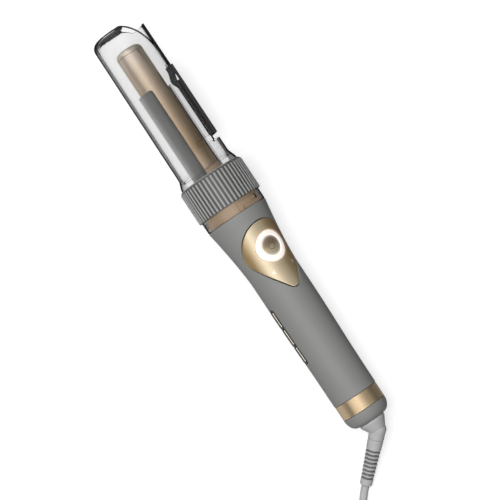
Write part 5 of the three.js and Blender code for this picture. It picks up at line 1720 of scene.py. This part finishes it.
class CURLER_OT_power_button(PieceOperator, bpy.types.Operator):
    """Makes the power button and the lit ring round it"""

    bl_idname = "curler.power_button"
    bl_label = "Power button"

    def make(self, shape):
        dish = shape.button_dish * 1000
        rings = [(BUTTON_RADIUS * k / 12, dish * (1 - (k / 12) ** 2)) for k in range(1, 12)]
        rings += [(BUTTON_RADIUS - 0.35, 0.03), (BUTTON_RADIUS - 0.12, 0.12), (BUTTON_RADIUS, 0.4)]
        button = mesh_object("button", surface_rings([(0, dish), *rings], BUTTON_FLOOR), turned(PLATE_ANGLE))
        settle(button, "power_key", "gold_button", "gold_plastic", "power_button")
        rings = [(LIGHT_INNER, 0.2), (LIGHT_INNER + 0.25, -0.02), (LIGHT_INNER + 0.8, -0.09)]
        rings += [(LIGHT_OUTER - 0.8, -0.09), (LIGHT_OUTER - 0.25, -0.02), (LIGHT_OUTER, 0.2)]
        ring = mesh_object("lit_ring", surface_rings(rings, LIGHT_FLOOR), turned(PLATE_ANGLE))
        settle(ring, "direction_rocker", "light_ring", "light", "light_ring")


class CURLER_OT_side_keys(PieceOperator, bpy.types.Operator):
    """Makes the black inlay in the handle's flank, its three keys and the pale lines along them"""

    bl_idname = "curler.side_keys"
    bl_label = "Side keys"

    def make(self, shape):
        place = turned(KEY_ANGLE)
        heights = [KEY_CENTRE + KEY_PITCH * k for k in (-1, 0, 1)]
        low, high = KEY_CENTRE - INLAY_LENGTH / 2, KEY_CENTRE + INLAY_LENGTH / 2
        rows = rounded_rows(INLAY_WIDTH / 2, low, high, INLAY_CORNER)
        layers = [(0.3, 0.0), (0.1, 0.08), (0, 0.3), (0, handle_radius(KEY_CENTRE) - INLAY_SUNK - INLAY_FLOOR)]
        inlay = mesh_object("inlay", wrapped(rows, layers, lambda y: handle_radius(y) - INLAY_SUNK), place)
        wells = []
        for height in heights:
            reach = KEY_LENGTH / 2 + KEY_GAP
            rows = rounded_rows(KEY_WIDTH / 2 + KEY_GAP, height - reach, height + reach, 1.6)
            layers = [(-0.25, -3), (-0.25, INLAY_SUNK - 0.1), (0, INLAY_SUNK + 0.2), (0, 6)]
            wells.append(mesh_object("key_well", wrapped(rows, layers, handle_radius), place))
        combine(inlay, wells, "DIFFERENCE", sharp=30)
        settle(inlay, "handle", "black_plastic", "black_plastic", "key_inlay")
        for number, height in enumerate(heights, 1):
            self.key(number, height, shape.key_edge * 1000, place)

    def key(self, number, height, rounding, place):
        def outside(y):
            return handle_radius(y) + KEY_PROUD

        rows = rounded_rows(KEY_WIDTH / 2, height - KEY_LENGTH / 2, height + KEY_LENGTH / 2, 1.4, step=1)
        depth = outside(height) - KEY_FLOOR
        key = mesh_object(f"key_{number}_top", wrapped(rows, edge_layers(rounding, depth), outside), place)
        settle(key, f"key_{number}", "black_plastic", "black_plastic", f"side_key_{number}")
        low, high = height - KEY_LENGTH / 2 + 0.5, height + KEY_LENGTH / 2 - 0.5
        strip = rounded_rows(TRIM_HALF_WIDTH, low, high, 0.3)
        middle = KEY_WIDTH / 2 - TRIM_HALF_WIDTH - 0.02

        def shifted(inset):
            return [(y, left + middle, right + middle) for y, left, right in strip(inset)]

        layers = [(0.12, -0.04), (0, 0.03), (0, 0.5)]
        trim = mesh_object(f"key_{number}_edge", wrapped(shifted, layers, outside, 4), place)
        settle(trim, f"key_{number}", "key_trim", "gold_metal")


class CURLER_OT_barrel(PieceOperator, bpy.types.Operator):
    """Makes the turntable, the heated barrel and its rounded cap"""

    bl_idname = "curler.barrel"
    bl_label = "Barrel"

    def make(self, shape):
        bore, journal, boss = 4.5, 5.9, 8.6
        spigot = BARREL_RADIUS - BARREL_WALL - SEAT_GAP
        outline = [
            (bore, GEAR_LOW - 0.3),
            (journal, GEAR_LOW - 0.3),
            (journal, GEAR_LOW + 6.3),
            (boss, GEAR_LOW + 6.3),
            (boss, TURNTABLE_LOW),
            (TURNTABLE_RADIUS, TURNTABLE_LOW),
            (TURNTABLE_RADIUS, TURNTABLE_TOP),
            (BASE_COLLAR_RADIUS, TURNTABLE_TOP),
            (BASE_COLLAR_RADIUS, BASE_COLLAR_TOP),
            (spigot, BASE_COLLAR_TOP),
            (spigot, BASE_COLLAR_TOP + 5),
            (bore, BASE_COLLAR_TOP + 5),
        ]
        radii = [0, 0, 0, 0, 0, 0.6, 0.8, 0.8, 0.5, 0, 0, 0]
        table = mesh_object("gold_turntable", lathe(soften(outline, radii), 96, closed=True))
        settle(table, "rotor", "gold_plastic", "gold_plastic", "turntable")
        inner = BARREL_RADIUS - BARREL_WALL
        outline = [(inner, BARREL_LOW), (BARREL_RADIUS, BARREL_LOW)]
        outline += [(BARREL_RADIUS, BARREL_TOP), (inner, BARREL_TOP)]
        tube = mesh_object("heated_barrel", lathe(soften(outline, [0, 0.25, 0.12, 0]), 96, closed=True))
        settle(tube, "rotor", "barrel_coating", "barrel_metal", "barrel_tube")
        low, level = BARREL_TOP - 5, BARREL_TOP + SEAT_GAP
        profile = [(0, low), (spigot, low), (spigot, level)]
        profile += [(BARREL_RADIUS - 0.12, level), (BARREL_RADIUS, level + 0.12)]
        corner = 4.4
        for sine, cosine in arc(18):
            profile.append((BARREL_RADIUS - corner + corner * cosine, level + 0.3 + corner * sine))
        profile += [(6.5 * share, level + 5 - 0.3 * share**2) for share in (0.75, 0.5, 0.25, 0)]
        cap = mesh_object("barrel_end", lathe(profile, 96))
        settle(cap, "rotor", "barrel_coating", "barrel_metal", "barrel_cap")


class CURLER_OT_wrap_bars(PieceOperator, bpy.types.Operator):
    """Makes the two bars that hold the hair round the barrel"""

    bl_idname = "curler.wrap_bars"
    bl_label = "Wrap bars"

    def make(self, shape):
        low = TURNTABLE_TOP + SEAT_GAP
        for name, node, start, end, top in (
            ("front_bar", "wrap_bar_front", -95, -5, 78.3),
            ("rear_bar", "wrap_bar_rear", 88, 178, 75.3),
        ):
            half = math.radians(end - start) / 2 * BAR_OUTER
            rows = rounded_rows(half, low, TURNTABLE_TOP + top, BAR_CORNER, 0.1, step=8)
            layers = [*edge_layers(0.4, BAR_OUTER - BAR_INNER - 0.25), (0.25, BAR_OUTER - BAR_INNER)]
            form = wrapped(rows, layers, lambda y: BAR_OUTER, 36)
            bar = mesh_object(name, form, turned((start + end) / 2), sharp=40)
            settle(bar, "rotor", "bar_grey", "bar_grey", node)


class CURLER_OT_chamber(PieceOperator, bpy.types.Operator):
    """Makes the clear chamber with its mouth, its hair slot and its locking grooves"""

    bl_idname = "curler.chamber"
    bl_label = "Clear chamber"

    def make(self, shape):
        body = mesh_object("clear_chamber_shell", lathe(chamber_profile(), 144))
        body.data.materials.append(finish("clear_plastic"))
        marker = bpy.data.materials.new("cut_marker")
        far = FOOT_RADIUS + 10
        edges = [
            sloping_mouth(far),
            sector_block(14, far, SLOT_FRONT, SLOT_BACK, HOOK_TOP - 0.7, MOUTH_LOW + 6),
            sector_block(14, far, LOW_SLOT_FRONT, GUIDE_BACK + 0.8, FOOT_SLOT_TOP - 1, HOOK_TOP + SEAT_GAP),
            sector_block(14, far, FOOT_SLOT_FRONT, GUIDE_BACK + 0.8, FOOT_SLOT_LOW, FOOT_SLOT_TOP),
        ]
        tools = [prism(mouth_outline(BACK_WALL_TOP), -far, -0.2)]
        depth, wide = COLLAR_RADIUS - 0.7, STUD_RADIUS + 0.5
        room = math.degrees(wide / depth)
        for angle in STUD_ANGLES:
            start, inner = angle - UNLOCK_TURN - room, NECK_RADIUS - 1
            low, high = STUD_HEIGHT - wide, STUD_HEIGHT + wide
            tools.append(sector_block(inner, depth, start, angle + room, low, high))
            tools.append(sector_block(inner, depth, start, start + 2 * room, COLLAR_LOW - 1, STUD_HEIGHT))
        cutters = [mesh_object(f"chamber_tool_{k}", tool) for k, tool in enumerate(edges + tools)]
        for cutter in cutters[: len(edges)]:
            cutter.data.materials.append(marker)
        combine(body, cutters, "DIFFERENCE", sharp=28)
        mark_cut_faces(body, marker)
        bpy.data.materials.remove(marker)
        settle(body, "clear_chamber", "clear_plastic", "clear_plastic", "chamber")


class CURLER_OT_hair_guide(PieceOperator, bpy.types.Operator):
    """Makes the dark guide along the hair slot, with its fine teeth and its hook"""

    bl_idname = "curler.hair_guide"
    bl_label = "Hair guide"

    def make(self, shape):
        start, end = SLOT_BACK + 0.4, GUIDE_BACK
        half = math.radians(end - start) / 2 * GUIDE_OUTER
        rows = rounded_rows(half, GUIDE_LOW, HOOK_TOP, 0.8, step=6)
        layers = [*edge_layers(0.5, GUIDE_THICKNESS - 0.3), (0.3, GUIDE_THICKNESS)]
        guide = wrapped(rows, layers, lambda y: GUIDE_OUTER, 16)
        guide = mesh_object("slot_guide", guide, turned((start + end) / 2))
        right = GUIDE_OUTER - 0.6
        nose = [
            (14.3, GUIDE_TOP + 0.6),
            (right, GUIDE_TOP),
            (right, HOOK_TOP - 2),
            (right - 1.6, HOOK_TOP),
            (right - 4.6, HOOK_TOP),
            (14.3, GUIDE_TOP + 3.4),
        ]
        eye = [(right - 3.3, GUIDE_TOP + 1.6), (right - 1.6, GUIDE_TOP + 1.6), (right - 1.6, GUIDE_TOP + 8.4)]
        hook = mesh_object("guide_hook", prism(soften(nose, [0.4, 0.6, 0.8, 0.8, 1.2, 0.5]), HOOK_FAR, HOOK_NEAR))
        hole = prism(soften(eye, 0.25), -GUIDE_OUTER, HOOK_NEAR + 5)
        combine(guide, [mesh_object("guide_eye", hole)], "DIFFERENCE")
        combine(hook, [mesh_object("hook_eye", hole)], "DIFFERENCE")
        bevelled(hook, 0.25)
        ramp_low = GUIDE_TOP - 5
        ramp_shape = [(14.3, GUIDE_TOP + 1.2), (17.3, ramp_low), (20.6, ramp_low), (20.6, GUIDE_TOP + 1.2)]
        ramp_piece = mesh_object("guide_ramp", prism(ramp_shape, HOOK_FAR, -2.1))
        bevelled(ramp_piece, 0.2)
        guide = joined(joined(guide, hook), ramp_piece)
        settle(guide, "clear_chamber", "black_plastic", "black_plastic", "hair_guide")
        self.teeth(shape, start)

    def teeth(self, shape, start):
        """Fine teeth along the guide's edge towards the slot"""
        reach = GUIDE_OUTER - 0.1
        tooth = prism(soften(rectangle(1.9, -0.45, 0.45), 0.3), reach - 0.6, reach + 0.08)
        tooth = bevelled(mesh_object("tooth", tooth, from_foot(turned(start + 5))), 0.12)
        spots = stations(GUIDE_LOW + 2, GUIDE_TOP - 2, (GUIDE_TOP - GUIDE_LOW - 4) / (shape.guide_teeth - 1))
        points = [FOOT + AXIS * height * 0.001 for height in spots]
        teeth = repeat_on("guide_teeth", tooth, points, "black_plastic")
        settle(teeth, "clear_chamber", None, "black_plastic")


class CURLER_OT_ribbed_ring(PieceOperator, bpy.types.Operator):
    """Makes the locking ring and the ribs round it"""

    bl_idname = "curler.ribbed_ring"
    bl_label = "Ribbed ring"

    def make(self, shape):
        depth = shape.rib_depth * 1000
        root = RING_RADIUS - depth
        bore, shoulder = SEAT_RADIUS + SEAT_GAP, COLLAR_RADIUS + SEAT_GAP
        outline = [
            (shoulder, RING_LOW),
            (root - 0.1, RING_LOW),
            (root, RING_LOW + 0.3),
            (root, RING_TOP - RING_TOP_BEVEL + 0.4),
            (bore + 0.55, RING_TOP),
            (bore, RING_TOP),
            (bore, RING_LOW + 2),
        ]
        ring = lathe(soften(outline, [0, 0.1, 0.2, 0.5, 0.2, 0, 0]), 150, closed=True)
        ring = mesh_object("locking_ring", ring)
        settle(ring, "clear_chamber", "rib_grey", "rib_grey", "ribbed_ring")
        rib = self.rib(root, depth, shape.rib_width * 500)
        source = mesh_object("rib", rib, untilted(iron_point))
        ribs = repeat_round("ring_ribs", source, shape.rib_count, "rib_grey", sharp=45)
        settle(ribs, "clear_chamber", None, "rib_grey")

    def rib(self, root, depth, half):
        """One rib at the underside of the iron: low at its ends, rounded over its back"""
        low, high = RING_LOW + 0.05, RING_TOP - 0.15
        bevel = RING_TOP - RING_TOP_BEVEL
        places = [(low, 0.25), (low + 0.25, 0.7), (RING_LOW + RING_LOW_BEVEL, 1.0), (RING_LOW + 1.6, 1.0)]
        places += [(bevel - 0.6, 1.0), (bevel, 0.97), (RING_TOP - 1.0, 0.45), (high, 0.02)]
        slope = (RING_RADIUS - SEAT_RADIUS - SEAT_GAP - 0.5) / RING_TOP_BEVEL
        flat, edge = min(half, 0.78), 0.28
        loops = []
        for height, share in places:
            base, top = root - 0.5, root + depth * share
            if height > bevel:
                base -= (height - bevel) * 0.45
                top = RING_RADIUS - (height - bevel) * slope
            loop = [(-flat, base), (flat, base), (flat, top - edge), (flat - 0.1, top - 0.09), (flat - edge, top)]
            loop += [(edge - flat, top), (0.1 - flat, top - 0.09), (-flat, top - edge)]
            loops.append([(x, height, -z) for x, z in loop])
        return loft(loops)


class CURLER_OT_inner_works(PieceOperator, bpy.types.Operator):
    """Finishes the pieces inside the iron, which keep their CAD shapes"""

    bl_idname = "curler.inner_works"
    bl_label = "Inner works"

    LOOKS = {
        "black_plastic": "chassis neck_cap power_switch direction_switch_left direction_switch_right "
        "key_switch_1 key_switch_2 key_switch_3",
        "circuit_board": "main_board light_board key_board",
        "nylon": "swivel_retainer rotor_gear bearing_bush",
        "steel": "heater_stem heater_block_upper heater_block_lower gear_motor motor_pinion "
        "pivot_pin_lower pivot_pin_upper",
        "ceramic": "heating_element",
    }

    def make(self, shape):
        for look, nodes in self.LOOKS.items():
            for node in nodes.split():
                for slot in bpy.data.objects[node].material_slots:
                    slot.material = finish(look)


STEPS = (
    CURLER_OT_stage,
    CURLER_OT_mains_cord,
    CURLER_OT_plug,
    CURLER_OT_swivel_stub,
    CURLER_OT_end_cap,
    CURLER_OT_handle_shells,
    CURLER_OT_cover_screws,
    CURLER_OT_neck,
    CURLER_OT_direction_plate,
    CURLER_OT_power_button,
    CURLER_OT_side_keys,
    CURLER_OT_barrel,
    CURLER_OT_wrap_bars,
    CURLER_OT_ribbed_ring,
    CURLER_OT_hair_guide,
    CURLER_OT_chamber,
    CURLER_OT_inner_works,
)


class CURLER_PT_panel(bpy.types.Panel):
    """The settings and the steps that build the curling iron"""

    bl_idname = "CURLER_PT_panel"
    bl_label = "Curling iron"
    bl_space_type = "VIEW_3D"
    bl_region_type = "UI"
    bl_category = "Curling iron"

    def draw(self, context):
        for settings in ("curler_shape", "curler_colours", "curler_stage"):
            box = self.layout.box()
            group = getattr(context.scene, settings)
            for name in group.__annotations__:
                box.prop(group, name)
        column = self.layout.column()
        for step in STEPS:
            column.operator(step.bl_idname)


CLASSES = (CurlerShape, CurlerColours, CurlerStage, *STEPS, CURLER_PT_panel)


def register():
    for item in CLASSES:
        bpy.utils.register_class(item)
    bpy.types.Scene.curler_shape = PointerProperty(type=CurlerShape)
    bpy.types.Scene.curler_colours = PointerProperty(type=CurlerColours)
    bpy.types.Scene.curler_stage = PointerProperty(type=CurlerStage)


def unregister():
    del bpy.types.Scene.curler_stage
    del bpy.types.Scene.curler_colours
    del bpy.types.Scene.curler_shape
    for item in reversed(CLASSES):
        bpy.utils.unregister_class(item)


def main():
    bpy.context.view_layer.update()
    register()
    for step in STEPS:
        group, name = step.bl_idname.split(".")
        getattr(getattr(bpy.ops, group), name)()


if __name__ == "__main__":
    main()
